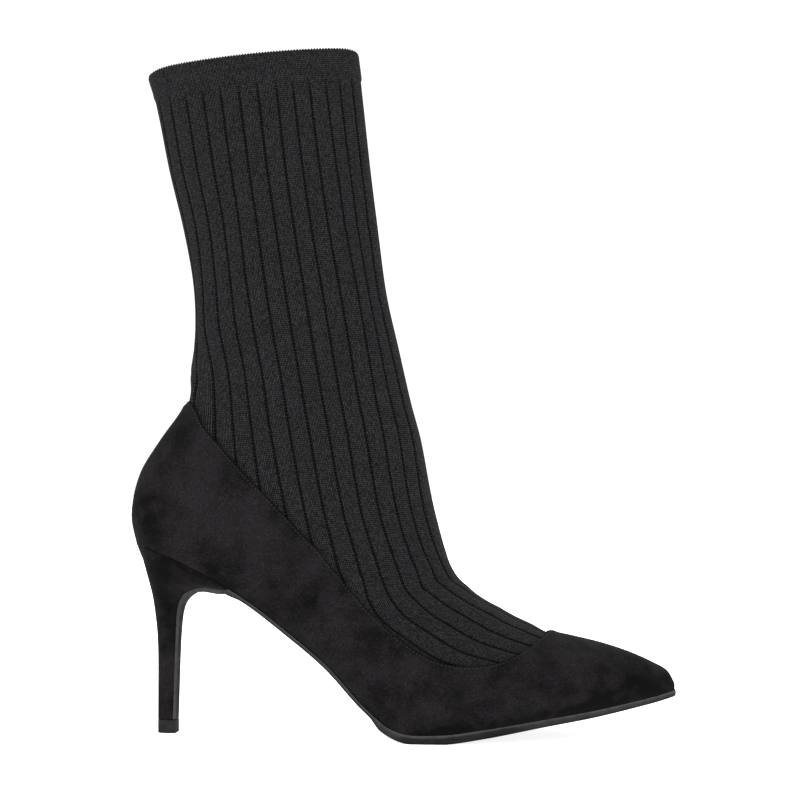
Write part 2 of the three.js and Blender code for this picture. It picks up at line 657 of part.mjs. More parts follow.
function knitRings() {
  const bandRing = CUFF_BAND / LEG_HEIGHT / (LEG_RINGS[0].front - LEG_RINGS[1].front);
  const edgeRing = CUFF_EDGE / CUFF_BAND * bandRing;
  const stepRing = CUFF_STEP / CUFF_BAND * bandRing;
  const rings = [
    { ring: 0, proud: CUFF_STEP - CUFF_EDGE / 2, ribbed: false },
    { ring: edgeRing, proud: CUFF_STEP, ribbed: false },
    { ring: bandRing, proud: CUFF_STEP, ribbed: false },
    { ring: bandRing + stepRing, proud: 0, ribbed: true },
  ];
  for (let ring = 1; ring < LEG_RINGS.length; ring += ring < ANKLE_RING ? 1 : ANKLE_STEP) {
    rings.push({ ring, proud: 0, ribbed: true });
  }
  rings.push({ ring: TOPLINE_RINGS[0], proud: 0, ribbed: true });
  return rings;
}

function knitRows(side, inside) {
  const starts = knitRings().map((row) => ({ ...row, run: halfRing(row.ring, side).length }));
  const edge = KNIT_PLACES.map((place) => tuckedAt(place, side));
  edge.forEach(({ ring, run }) => starts.push({ ring, run, proud: 0, ribbed: true }));
  const step = inside ? 2 : 1;
  return starts.map(({ ring, run, proud, ribbed }) => {
    const row = [];
    for (let index = 0; index <= KNIT_COLUMNS; index += step) {
      const reach = index === KNIT_COLUMNS ? run : Math.min(ribRun(index, ring, side), run);
      const groove = ribbed && index % 2 === 0 && reach < run ? RIB_DEPTH : 0;
      const ease = tuckEase(ring, reach, side);
      row.push(skin(ring, reach, side, inside ? -KNIT_WALL - ease : proud - groove - ease));
    }
    return row;
  });
}

// Knit shaft: one sleeve with a plain band at the cuff, its lower edge tucked inside the suede
function shaft() {
  const shell = new Shell();
  for (const side of [OUTER, INNER]) {
    const flip = side === INNER;
    const outside = knitRows(side, false);
    const inside = knitRows(side, true);
    shell.sheet(outside, flip);
    shell.sheet(inside, !flip);
    shell.stitch(outside[0], inside[0], !flip);
    const edgeStart = knitRings().length;
    const edge = [outside, inside].map((rows) => rows.slice(edgeStart).map((row) => row[row.length - 1]));
    shell.sheet(edge, !flip);
  }
  return shell.geometry();
}

// A body from closed loops of points. An end whose loop is only a line needs no cap.
function loft(loops, firstCap, lastCap) {
  const shell = new Shell();
  shell.sheet(loops.map((loop) => [...loop, loop[0]]), false);
  const cap = (loop, flip) => {
    for (let index = 1; index + 1 < loop.length; index += 1) {
      shell.face(loop[0], loop[index], loop[index + 1], flip);
    }
  };
  if (firstCap) {
    cap(loops[0], true);
  }
  if (lastCap) {
    cap(loops[loops.length - 1], false);
  }
  return shell.geometry();
}

// Rings of the sole from one ring to the toe
function soleRings(from) {
  return [from, ...FOOT_RINGS.filter((ring) => ring > from + SEAM_REACH)];
}

function insole() {
  const loops = soleRings(SEAT_RING).map((ring) => [
    featherEdge(ring, OUTER, -INSOLE_INSET, 0),
    featherEdge(ring, OUTER, -INSOLE_INSET - INSOLE_BEVEL, -INSOLE_GAUGE),
    featherEdge(ring, INNER, -INSOLE_INSET - INSOLE_BEVEL, -INSOLE_GAUGE),
    featherEdge(ring, INNER, -INSOLE_INSET, 0),
  ]);
  return loft(loops, false, false);
}

// The sole's edge stands out most at a third of its gauge
const EDGE_LEVEL = 1 / 3;

function soleGauge(ring) {
  const tread = THREE.MathUtils.smoothstep(ring, TREAD_START, TREAD_FULL) * (TREAD_GAUGE - SHANK_GAUGE);
  const toe = THREE.MathUtils.smoothstep(ring, BALL_RING, TOE_RING) * (TOE_GAUGE - TREAD_GAUGE);
  return SHANK_GAUGE + tread + toe;
}

// Depth of the sole's upper face below the feather: it drops to pass under the heel's lip
function soleDepth(ring) {
  const lip = 1 - THREE.MathUtils.smoothstep(ring, LIP_RING, SHANK_RING);
  return FIT_GAP + lip * (LIP_GAUGE + FIT_GAP);
}

function onFloor(point) {
  point.z = Math.max(point.z, 0);
  return point;
}

function soleLoop(ring) {
  const depth = soleDepth(ring);
  const gauge = soleGauge(ring);
  const proud = SHELL + WELT_PROUD;
  const edge = (side) => [
    featherEdge(ring, side, proud - SOLE_BEVEL / 2, depth),
    featherEdge(ring, side, proud, depth + gauge * EDGE_LEVEL),
    onFloor(featherEdge(ring, side, proud - SOLE_BEVEL, depth + gauge)),
  ];
  return [...edge(OUTER), ...edge(INNER).reverse()];
}

// The heel's seat is cut at the rings of the foot
const SEAT_RINGS = [...FOOT_RINGS.filter((ring) => ring >= SEAT_RING && ring < LIP_RING), LIP_RING];
const HEEL_STEPS = SEAT_RINGS.length - 1;
const HEEL_BASE = TOP_PIECE_HEIGHT + FIT_GAP;
const STEM_X = STEM_BACK * LAST_LENGTH;

function heelSection(row) {
  const height = HEEL_HEIGHT - HEEL_BASE;
  return {
    backX: STEM_X - row.back * HEEL_WIDTH,
    backZ: HEEL_BASE + row.backUp * height,
    frontX: STEM_X + STEM_LENGTH + row.front * HEEL_WIDTH,
    frontZ: HEEL_BASE + row.frontUp * height,
    wide: STEM_WIDTH / 2 + row.wide * HEEL_WIDTH,
    face: row.face * (STEM_WIDTH / 2 + row.wide * HEEL_WIDTH),
  };
}

const SECTIONS = HEEL_SECTIONS.map(heelSection);

// The flap thins out below the section where the breast starts to flare
function flapGauge(index) {
  const flare = THREE.MathUtils.smoothstep(index, FLARE_SECTION, SECTIONS.length - 1);
  return THREE.MathUtils.lerp(FLAP_GAUGE, SHANK_GAUGE, flare);
}

// The flap that turns down the heel's breast, from the lip to the top piece
function flapLoops() {
  const loops = [];
  for (let index = SECTIONS.length - 1; index >= 0; index -= 1) {
    const here = SECTIONS[index];
    const above = SECTIONS[Math.min(index + 1, SECTIONS.length - 1)];
    const below = SECTIONS[Math.max(index - 1, 0)];
    const down = new THREE.Vector3(below.frontX - above.frontX, 0, below.frontZ - above.frontZ).normalize();
    const away = new THREE.Vector3(-down.z, 0, down.x);
    const corner = (side, wide, depth) =>
      new THREE.Vector3(here.frontX, side * wide, here.frontZ).addScaledVector(away, depth);
    const gauge = flapGauge(index);
    const edge = (side) => [
      corner(side, here.face, FIT_GAP),
      corner(side, here.face + SOLE_BEVEL / 2, FIT_GAP + gauge * EDGE_LEVEL),
      corner(side, here.face - SOLE_BEVEL / 2, FIT_GAP + gauge),
    ];
    loops.push([...edge(OUTER), ...edge(INNER).reverse()]);
  }
  return loops;
}

function outsole() {
  const underFoot = soleRings(LIP_RING).reverse().map(soleLoop);
  return loft([...underFoot, ...flapLoops()], false, true);
}

// One closed loop of a heel section, from the middle of its back round by the outer side
function heelLoop({ backX, backZ, frontX, frontZ, wide, face }) {
  const half = (side) => {
    const points = [];
    for (let step = 0; step <= HEEL_STEPS; step += 1) {
      const { along, width } = halfOval(step / HEEL_STEPS, wide, face, HEEL_BLUNT, HEEL_BLUNT);
      points.push(new THREE.Vector3(
        THREE.MathUtils.lerp(backX, frontX, along),
        side * width,
        THREE.MathUtils.lerp(backZ, frontZ, along),
      ));
    }
    return points;
  };
  return [...half(OUTER), ...half(INNER).slice(1).reverse()];
}

// The loop of the seat, which follows the feather edge
function seatLoop(depth) {
  const half = (side) => SEAT_RINGS.map((ring) => featherEdge(ring, side, SHELL + WELT_PROUD / 2, depth));
  return [...half(OUTER), ...half(INNER).slice(1).reverse()];
}

// Closes a loop with strips from side to side, so that a hollowed or crowned end keeps its shape
function stripCap(shell, loop, flip) {
  const outerHalf = loop.slice(0, HEEL_STEPS + 1);
  const innerHalf = [loop[0], ...loop.slice(HEEL_STEPS + 1).reverse()];
  shell.sheet([outerHalf, innerHalf], flip);
}

function heelBody(loops) {
  const shell = new Shell();
  shell.sheet(loops.map((loop) => [...loop, loop[0]]), false);
  stripCap(shell, loops[0], true);
  stripCap(shell, loops[loops.length - 1], false);
  return shell.geometry();
}

function heel() {
  return heelBody([...SECTIONS.map(heelLoop), seatLoop(FIT_GAP + LIP_GAUGE), seatLoop(FIT_GAP)]);
}

// Hard lift under the heel, as long as the stem and the flap together
function topPiece() {
  const stem = SECTIONS[0];
  const section = (height, inset) => heelLoop({
    backX: stem.backX + inset,
    backZ: height,
    frontX: stem.frontX + FIT_GAP + FLAP_GAUGE - inset,
    frontZ: height,
    wide: stem.wide - inset,
    face: stem.face - inset,
  });
  return heelBody([
    section(0, TOP_PIECE_BEVEL),
    section(TOP_PIECE_BEVEL, 0),
    section(TOP_PIECE_HEIGHT, 0),
  ]);
}

const PIECES = [
  { name: 'upper', make: upper, finish: 'suede' },
  { name: 'shaft', make: shaft, finish: 'knit' },
  { name: 'insole', make: insole, finish: 'board' },
  { name: 'outsole', make: outsole, finish: 'sole' },
  { name: 'heel', make: heel, finish: 'suede' },
  { name: 'top_piece', make: topPiece, finish: 'rubber' },
];

function signedVolume(geometry) {
  const corners = geometry.getAttribute('position');
  const index = geometry.getIndex();
  const [a, b, c] = [new THREE.Vector3(), new THREE.Vector3(), new THREE.Vector3()];
  let volume = 0;
  for (let place = 0; place < index.count; place += 3) {
    [a, b, c].forEach((corner, offset) => corner.fromBufferAttribute(corners, index.getX(place + offset)));
    volume += a.dot(b.cross(c)) / 6;
  }
  return volume;
}

// Turns a body's faces outward
function facedOut(geometry) {
  if (signedVolume(geometry) < 0) {
    geometry.index.array.reverse();
    geometry.computeVertexNormals();
  }
  return geometry;
}

const boot = new THREE.Group();
for (const { name, make, finish } of PIECES) {
  const mesh = new THREE.Mesh(facedOut(make()), new THREE.MeshStandardMaterial(COLOURS[finish]));
  mesh.name = name;
  boot.add(mesh);
}

// The boot stands on the floor with the middle of its box over the origin
const box = new THREE.Box3().setFromObject(boot);
const middle = box.getCenter(new THREE.Vector3());
boot.position.set(-middle.x, -middle.y, -box.min.z);
boot.updateMatrixWorld(true);

export default boot;
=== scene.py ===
import math
from collections import namedtuple

import bpy
import numpy as np
from bpy.props import FloatProperty, FloatVectorProperty, PointerProperty
from bpy.types import Operator, Panel, PropertyGroup
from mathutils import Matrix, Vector


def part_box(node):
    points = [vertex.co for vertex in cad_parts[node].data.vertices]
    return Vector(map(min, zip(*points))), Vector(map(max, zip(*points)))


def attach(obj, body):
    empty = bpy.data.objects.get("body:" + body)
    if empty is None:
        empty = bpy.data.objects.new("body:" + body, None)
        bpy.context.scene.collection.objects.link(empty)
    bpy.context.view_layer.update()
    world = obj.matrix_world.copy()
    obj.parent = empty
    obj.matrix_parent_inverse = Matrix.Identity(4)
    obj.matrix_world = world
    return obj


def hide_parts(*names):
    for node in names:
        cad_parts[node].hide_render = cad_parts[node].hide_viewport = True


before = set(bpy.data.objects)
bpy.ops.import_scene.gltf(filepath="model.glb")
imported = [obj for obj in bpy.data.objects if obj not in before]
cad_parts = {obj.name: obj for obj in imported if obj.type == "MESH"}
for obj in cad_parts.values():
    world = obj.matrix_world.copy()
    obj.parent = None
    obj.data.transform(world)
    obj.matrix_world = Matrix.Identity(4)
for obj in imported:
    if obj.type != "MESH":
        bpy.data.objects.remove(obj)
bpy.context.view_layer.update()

bl_info = {
    "name": "High-heeled sock boot",
    "version": (1, 0, 0),
    "blender": (4, 5, 0),
    "location": "3D View > Sidebar > Boot",
    "description": "Builds a suede and rib-knit boot with a slim heel over its solids",
    "category": "Add Mesh",
}

MM = 0.001
OUTER, INNER = -1, 1
SIDES = (OUTER, INNER)


def length(name, description, millimetres):
    return FloatProperty(
        name=name, description=description, default=millimetres * MM, min=0.0, precision=4, unit="LENGTH")


def colour(name, description, *tone):
    return FloatVectorProperty(
        name=name, description=description, default=tone, min=0.0, max=1.0, size=3, subtype="COLOR")


class BootSizes(PropertyGroup):
    """Sizes of the last, leg, walls and edges"""

    last_length: length("Last length", "Heel to toe along the last", 245)
    heel_height: length("Heel height", "Seat over the floor", 84.5)
    toe_spring: length("Toe spring", "Rise of the sole's tip", 17)
    instep_height: length("Instep height", "Rise of the instep over the seat", 64)
    ball_width: length("Ball width", "Width of the last at the ball", 78)
    heel_width: length("Heel width", "Width of the last at the seat", 54)
    leg_height: length("Leg height", "Cuff over the seat", 222.5)
    leg_span: length("Leg span", "Front to back of the leg", 92)
    leg_depth: length("Leg depth", "Side to side of the leg", 32)
    fit_gap: length("Fit gap", "Clearance between pieces", 0.3)
    suede_wall: length("Suede wall", "Thickness of the lower", 1.3)
    suede_edge: length("Suede edge", "Roundness of the folded topline", 1.0)
    knit_wall: length("Knit wall", "Thickness of the shaft", 1.5)
    rib_pitch: length("Rib pitch", "Groove to groove", 7.8)
    rib_depth: length("Rib depth", "Depth of the grooves", 0.5)
    rib_groove: length("Rib groove", "Half width of a groove", 0.42)
    wale: length("Wale", "Width of one column of loops", 1.3)
    course: length("Course", "Height of one row of loops", 0.9)
    cuff_band: length("Cuff band", "Height of the plain band", 13)
    cuff_step: length("Cuff step", "Extra thickness of the band", 0.4)
    cuff_crown: length("Cuff crown", "Rise of the cuff between its ends", 0.9)
    cuff_corner: length("Cuff corner", "Drop of the cuff's soft corners", 1.6)
    tuck: length("Tuck", "Knit hidden under the suede", 7)
    tuck_ease: length("Tuck ease", "How far the suede presses the knit in", 0.45)
    tuck_fade: length("Tuck fade", "How far above the suede that shows", 2.5)
    stitch_margin: length("Stitch margin", "Topline seam below the edge", 1.1)
    stitch_pitch: length("Stitch pitch", "Stitch to stitch", 1.7)
    stitch_length: length("Stitch length", "Length of one stitch", 0.75)
    stitch_width: length("Stitch width", "Thickness of the thread", 0.38)
    insole_gauge: length("Insole gauge", "Thickness of the insole", 2)
    insole_inset: length("Insole inset", "Insole inside the last's edge", 0.7)
    insole_bevel: length("Insole bevel", "Slope of the insole's edge", 0.8)
    tread_gauge: length("Tread gauge", "Sole under the ball", 3.1)
    toe_gauge: length("Toe gauge", "Sole at the tip", 2.1)
    shank_gauge: length("Shank gauge", "Sole under the arch", 1.7)
    flap_gauge: length("Flap gauge", "Sole down the heel's breast", 0.8)
    welt_proud: length("Welt proud", "Sole beyond the suede", 0.4)
    sole_bevel: length("Sole bevel", "Slope of the sole's edge", 0.4)
    tread_flat: length("Tread flat", "Wear flat under the ball", 0.3)
    lip_gauge: length("Lip gauge", "Heel's edge under the seat", 0.65)
    sole_lip: length("Sole lip", "Sole's edge up the suede under the ball", 1.8)
    top_piece_height: length("Top piece height", "Lift under the heel", 6)
    top_piece_bevel: length("Top piece bevel", "Worn edge of the lift", 0.3)
    stem_length: length("Stem length", "Heel's foot, back to front", 7.6)
    stem_width: length("Stem width", "Heel's foot, side to side", 9.4)


class BootColours(PropertyGroup):
    """Colours of the materials"""

    suede: colour("Suede", "Nap lying flat", 0.0034, 0.0031, 0.0034)
    suede_brushed: colour("Brushed suede", "Nap standing up", 0.0125, 0.0115, 0.0123)
    knit: colour("Knit", "Yarn of the shaft", 0.0079, 0.0078, 0.0081)
    knit_groove: colour("Knit groove", "Shadow in the grooves", 0.0006, 0.0006, 0.0008)
    thread: colour("Thread", "Topline stitches", 0.0180, 0.0172, 0.0188)
    sock: colour("Insole sock", "Cover of the insole", 0.0300, 0.0270, 0.0250)
    sole: colour("Sole", "Rubber of the sole", 0.0165, 0.0160, 0.0160)
    # Painted highlight along the sole's upper rim, also the light tone of the flap down the breast
    sole_rim_highlight: colour("Sole rim", "Painted highlight on the sole's upper rim", 0.0600, 0.0590, 0.0580)
    top_piece: colour("Top piece", "Hard rubber under the heel", 0.0190, 0.0190, 0.0186)
    floor: colour("Floor", "Plain pale floor", 0.93, 0.93, 0.93)


def table(kind, *rows):
    return [kind(*row) for row in rows]


LEG_RINGS = table(
    namedtuple("LegRow", "middle span front back half nose tail"),
    (0.233, 1.042, 1.005, 0.967, 0.49, 0.8, 0.8), (0.249, 1.02, 0.885, 0.87, 0.51, 0.8, 0.8),
    (0.265, 1, 0.762, 0.762, 0.53, 0.82, 0.82), (0.285, 0.967, 0.64, 0.645, 0.55, 0.82, 0.82),
    (0.302, 0.959, 0.511, 0.537, 0.585, 0.82, 0.82), (0.316, 1.008, 0.396, 0.447, 0.63, 0.82, 0.82),
    (0.324, 1.082, 0.29, 0.366, 0.7, 0.82, 0.82),
)

# Ends of the foot's rings: on the ridge over the instep, and down the back and under the sole
EndRow = namedtuple("EndRow", "along lift spring rise")
RIDGE = table(
    EndRow,
    (0.546, 0.85, 0, 0.925), (0.564, 0.75, 0, 0.684), (0.58, 0.66, 0, 0.541), (0.595, 0.6, 0, 0.42),
    (0.604, 0.56, 0, 0.394), (0.616, 0.52, 0, 0.378), (0.631, 0.47, 0, 0.391), (0.647, 0.42, 0, 0.402),
    (0.667, 0.36, 0, 0.428), (0.69, 0.3, 0, 0.458), (0.716, 0.23, 0, 0.491), (0.747, 0.15, 0, 0.538),
    (0.78, 0.08, 0, 0.561), (0.822, 0.03, 0.1, 0.559), (0.873, 0, 0.35, 0.483), (0.922, 0, 0.57, 0.363),
    (0.963, 0, 0.77, 0.241), (0.988, 0, 0.9, 0.152), (1, 0, 1, 0.048),
)
UNDER = table(
    EndRow,
    (0.114, 1, 0, 0.992), (0.069, 1, 0, 0.73), (0.033, 1, 0, 0.498), (0.018, 1, 0, 0.227), (0.029, 1, 0, 0),
    (0.066, 0.977, 0, 0), (0.15, 0.871, 0, 0), (0.237, 0.723, 0, 0), (0.314, 0.549, 0, 0),
    (0.388, 0.365, 0, 0), (0.457, 0.15, 0, 0), (0.518, 0.018, 0, 0), (0.584, 0, 0, 0), (0.665, 0, 0.146, 0),
    (0.763, 0, 0.38, 0), (0.853, 0, 0.573, 0), (0.927, 0, 0.772, 0), (0.973, 0, 0.906, 0), (1, 0, 1, 0),
)
GIRTHS = table(
    namedtuple("GirthRow", "fore outer inner sole_outer sole_inner swing nose tail"),
    (0, 0.454, 0.454, 0, 0, 0, 0.8, 0.75), (0, 0.49, 0.49, 0, 0, 0, 0.78, 0.68),
    (0, 0.51, 0.51, 0, 0, 0, 0.76, 0.62), (0, 0.52, 0.52, 0, 0, 0, 0.75, 0.6),
    (0, 0.537, 0.537, 0, 0, 0, 0.75, 0.6), (0.05, 0.534, 0.525, 0.348, 0.348, 0, 0.75, 0.58),
    (0.1, 0.532, 0.523, 0.461, 0.461, 0, 0.75, 0.58), (0.2, 0.527, 0.502, 0.434, 0.425, 0, 0.76, 0.6),
    (0.35, 0.521, 0.489, 0.409, 0.385, 0.006, 0.78, 0.66),
    (0.55, 0.513, 0.476, 0.402, 0.35, 0.012, 0.8, 0.72),
    (0.75, 0.514, 0.479, 0.424, 0.361, 0.013, 0.83, 0.8),
    (0.92, 0.512, 0.486, 0.46, 0.407, 0.015, 0.86, 0.86), (1, 0.513, 0.494, 0.468, 0.455, 0.02, 0.9, 0.9),
    (1, 0.494, 0.494, 0.455, 0.455, 0.032, 0.92, 0.92), (1, 0.41, 0.429, 0.372, 0.397, 0.05, 0.92, 0.92),
    (1, 0.301, 0.314, 0.276, 0.288, 0.063, 0.9, 0.9), (1, 0.192, 0.199, 0.173, 0.179, 0.07, 0.88, 0.88),
    (1, 0.106, 0.109, 0.094, 0.096, 0.073, 0.85, 0.85), (1, 0, 0, 0, 0, 0.074, 0.85, 0.85),
)

# Upper edge of the suede: ring, and how far down from the ridge as a share of the ring's girth
TOPLINE = table(
    namedtuple("EdgeRow", "ring down"),
    (6.85, 1), (7, 0.895), (7.5, 0.797), (8, 0.686), (9, 0.53), (10, 0.426), (11, 0.395), (12, 0.409),
    (13, 0.447), (14, 0.489), (15, 0.513), (16, 0.518), (17, 0.472), (18, 0.393), (18.5, 0.335),
    (18.8, 0.235), (18.95, 0),
)

# How the ribs spread down the leg and foot: one row a ring, with the shares of its length at which
# grooves 1, 3, 6, 9 and 12 lie, counted from the ridge. KNIT_MARKS has the same grooves as shares of
# the fabric's width.
KNIT_LIES = table(
    namedtuple("LieRow", "near fore side rear far"),
    (0.075, 0.189, 0.399, 0.634, 0.866), (0.079, 0.195, 0.404, 0.641, 0.873),
    (0.08, 0.193, 0.411, 0.646, 0.873), (0.084, 0.195, 0.418, 0.657, 0.868),
    (0.083, 0.184, 0.415, 0.664, 0.88), (0.082, 0.191, 0.414, 0.652, 0.882),
    (0.079, 0.196, 0.404, 0.621, 0.828), (0.08, 0.198, 0.392, 0.6, 0.797),
    (0.082, 0.182, 0.353, 0.535, 0.727), (0.077, 0.17, 0.328, 0.493, 0.684),
    (0.067, 0.158, 0.31, 0.476, 0.665), (0.065, 0.16, 0.312, 0.482, 0.671),
    (0.079, 0.191, 0.367, 0.554, 0.761), (0.074, 0.236, 0.433, 0.638, 0.847),
    (0.07, 0.266, 0.523, 0.732, 0.92), (0.069, 0.286, 0.592, 0.785, 0.946),
    (0.073, 0.298, 0.603, 0.802, 0.959), (0.072, 0.292, 0.576, 0.78, 0.949),
    (0.065, 0.28, 0.534, 0.741, 0.914), (0.058, 0.273, 0.537, 0.75, 0.935),
)
KNIT_GROOVES = 14
KNIT_MARKS = [groove / KNIT_GROOVES for groove in (0, 1, 3, 6, 9, 12, 14)]

HEEL_SECTIONS = table(
    namedtuple("HeelRow", "back_up front_up back front wide face"),
    (0, 0, 0, 0, 0, 0.86), (0.175, 0.175, 0, 0.008, 0.004, 0.8), (0.354, 0.354, 0, 0.015, 0.017, 0.72),
    (0.495, 0.508, 0.006, 0.024, 0.05, 0.61), (0.61, 0.623, 0.021, 0.039, 0.104, 0.6),
    (0.705, 0.691, 0.037, 0.074, 0.181, 0.57), (0.783, 0.738, 0.061, 0.148, 0.265, 0.66),
    (0.853, 0.765, 0.089, 0.294, 0.348, 0.84), (0.923, 0.758, 0.12, 0.439, 0.395, 0.95),
)
HEEL_TOP = len(HEEL_SECTIONS) - 1
HEEL_BLUNT = 0.8
FLARE_SECTION = 4
STEM_BACK = 0.059

# Patches where the suede is made lighter or darker: place along and up and reach in millimetres, and how
# much lighter
PATCHES = [
    (27, 131, 9, -0.35), (15, 106, 7, -0.45), (18, 94, 7, -0.4), (9, 100, 6, -0.3), (45, 73, 6, -0.35),
    (88, 64, 6, -0.25), (183, 30, 6, -0.3), (219, 26, 9, -0.35), (214, 16, 9, -0.3), (196, 10, 9, -0.25),
    (168, 7, 9, -0.25), (150, 6, 8, -0.25), (238, 20, 6, -0.35), (32, 118, 14, 0.35), (30, 104, 10, 0.3),
    (44, 96, 13, 0.3), (60, 104, 10, 0.2), (74, 88, 12, 0.12), (233, 27, 5, 0.3), (205, 35, 10, 0.2),
    (182, 44, 9, 0.12), (110, 62, 14, 0.1), (150, 32, 12, 0.08), (16, 122, 8, 0.15), (128, 40, 8, -0.2),
]

# Painted light and shade down the sole's edge, a painted highlight on the upper rim and painted shade in
# the lower corner: with a plain edge, with a lip up the suede, and on the breast, where it is light all
# down
SOLE_MARKS = [
    (0.0, 0.2, 0.6, 0.8, 1.0, 1.0, 0.9, 0.8, 0.6, 0.3, 0.1, -0.1, -0.3, -0.7, -1.0),
    (0.0, 0.4, 1.0, 1.0, 0.5, 0.35, 0.25, 0.1, -0.05, -0.3, -0.5, -0.6, -0.8, -1.0, -1.0),
    (0.2, 0.5, 0.8, 0.9, 1.0, 1.0, 1.0, 1.0, 0.9, 0.8, 0.8, 0.7, 0.6, 0.5, 0.4),
]

# Rings of the last
SEAT_RING = 11
LIP_RING = 13.66
SHANK_RING = 14.0
TREAD_START = 17.2
TREAD_FULL = 17.6
THROAT_START = 18.4
BALL_RING = 19
TIP_RING = 23.5
TOE_RING = 25
TOPLINE_END = len(TOPLINE) - 1

# Suede, in millimetres
FEATHER_RISE = 5.0
BACK_REACH = 12
TIP_DROP = 1.9
TIP_REACH = 4.0
BACK_SKIVE = 1.2
SKIVE_REACH = 3.8
SUEDE_LEAST = 0.15
FEATHER_ROLL = 0.5
SEAM_DEPTH = 0.16
SEAM_REACH = 0.45
FOLD_RISE = 0.5
FOLD_AHEAD = 0.8
FOLD_REACH = 2.6
STITCH_SUNK = 0.06
EDGE_REACH = 0.35

# Knit, in millimetres
CUFF_FADE = 1.2
CROWN_DEPTH = 0.22
CROWN_REACH = 2.4
RIM_RISE = 0.25
RIM_THIN = 0.5
RIM_ROLL = 0.8
FRONT_REACH = 6.0
SEAM_SIDE = 9.0
DROP_FADE = 11.0
LOOP_WIDE = 0.34
LOOP_TALL = 0.55
LOOP_LIFT = 0.02

# Sole and heel, in millimetres
SOLE_ROUND = 0.32
FLAP_ROUND = 0.2
LIFT_ROUND = 0.15
LIP_GAP = 0.03
EDGE_SWELL = 0.05

# Measuring steps and limits, in millimetres
LOOK_AHEAD = 0.3
RUN_NUDGE = 0.9
FAR = 99.0
TINY = 1e-6

# Counts of corners and steps
EDGE_CORNERS = 5
LIP_CORNERS = 4
TREAD_STEPS = 14
TOP_STEPS = 6
WRAP_STEPS = 48
LIFT_STEPS = 40

# Shares and steps
FRONT_DROP = 0.9
BACK_DROP = 1.5
LOOP_SHARE = 0.40
FEATHER_SHARE = 0.6
# Darkness of the painted shade along the folded topline
EDGE_SHADE = 0.9
# Darkness of the painted shade on the suede along the sole
PAINTED_SOLE_SHADE = 1.05
# Mark of the suede's inside and of its bottom edge: painted shade
SHADED = -0.6
LOOP_FABRIC = (0.3, 0.3)
RING_NUDGE = 0.04
LEVEL_NUDGE = 0.05

# Shares of a half ring at which its corners are measured
AROUND = np.linspace(0, 1, 145)
FULL_TURN = 2 * math.pi

CAMERA_DISTANCE = 1.0
CAMERA_YAW = 5.5
CAMERA_PITCH = 2.13
CAMERA_HEIGHT = 0.115
CAMERA_TARGET = 0.122
CAMERA_SCALE = 0.00045
CAMERA_REACH = 50
FRAME_PIXELS = 790
SENSOR = 36.0
WHITE = (1, 1, 1, 1)
WORLD_LIGHT = 1.15
LAMP_TARGET = (0, 0, 0.12)
LAMPS = [
    ("key", (-0.5, -1.3, 1.5), 1.4, 9),
    ("fill", (1.1, -1.2, 0.7), 1.2, 3),
    ("back", (0.1, 1.4, 1.3), 1.4, 6),
]
FLOOR_GLOW = 0.85
FLOOR_REACH = 12.0
SPECKLE = 1.03


def through(values, at):
    """A smooth curve through a list of numbers, with free ends"""
    values, at = np.asarray(values, float), np.asarray(at, float)
    last = len(values) - 1
    index = np.clip(np.floor(at).astype(int), 0, last - 1)
    share = at - index
    start, end = values[index], values[index + 1]
    before = np.where(index > 0, values[np.maximum(index - 1, 0)], 2 * start - end)
    after = np.where(index + 2 <= last, values[np.minimum(index + 2, last)], 2 * end - start)
    bend = 2 * before - 5 * start + 4 * end - after
    twist = 3 * start - before - 3 * end + after
    return start + 0.5 * share * (end - before + share * (bend + share * twist))


def curve(columns, at):
    return np.stack([through(column, at) for column in columns], -1)


def smooth(value, low, high):
    share = np.clip((np.asarray(value, float) - low) / (high - low), 0, 1)
    return share * share * (3 - 2 * share)


def bell(away, reach):
    return np.exp(-(away / reach) ** 2)


def unit(vectors):
    return vectors / np.maximum(np.linalg.norm(vectors, axis=-1, keepdims=True), 1e-12)


def square(flat, sign=1):
    """Directions in the boot's middle plane turned square: a forward one turns down"""
    return np.stack([sign * flat[..., 1], np.zeros(flat.shape[:-1]), -sign * flat[..., 0]], -1)


def distances(points, axis=0):
    """How far along its line each point lies"""
    steps = np.linalg.norm(np.diff(points, axis=axis), axis=-1)
    return np.insert(np.cumsum(steps, axis=axis), 0, 0, axis=axis)


def sample(spots, far, line):
    """Points at distances along a line whose corners lie that far along it"""
    return np.stack([np.interp(spots, far, line[:, axis]) for axis in range(3)], -1)


def heading(spots, far, line):
    """Points at distances along a line, and the way that it runs there"""
    places = sample(spots, far, line)
    return places, unit(sample(spots + LOOK_AHEAD, far, line) - places)


def half_oval(turn, wide, face, nose, tail):
    """Half an oval from front (0) to back (1) with a flat end: share along it and half width"""
    ratio = np.clip(face / np.maximum(wide, 1e-9), 0, 1)
    end = np.where(wide > face, np.pi - np.arcsin(ratio ** (1 / tail)), np.pi / 2)
    angle = turn * end
    along = (1 - np.cos(angle)) / (1 - np.cos(end))
    blunt = nose + (tail - nose) * along
    return along, wide * np.maximum(np.sin(angle), 0) ** blunt


Ring = namedtuple(
    "Ring", "front_x front_z under_x under_z outer inner sole_outer sole_inner swing nose tail")


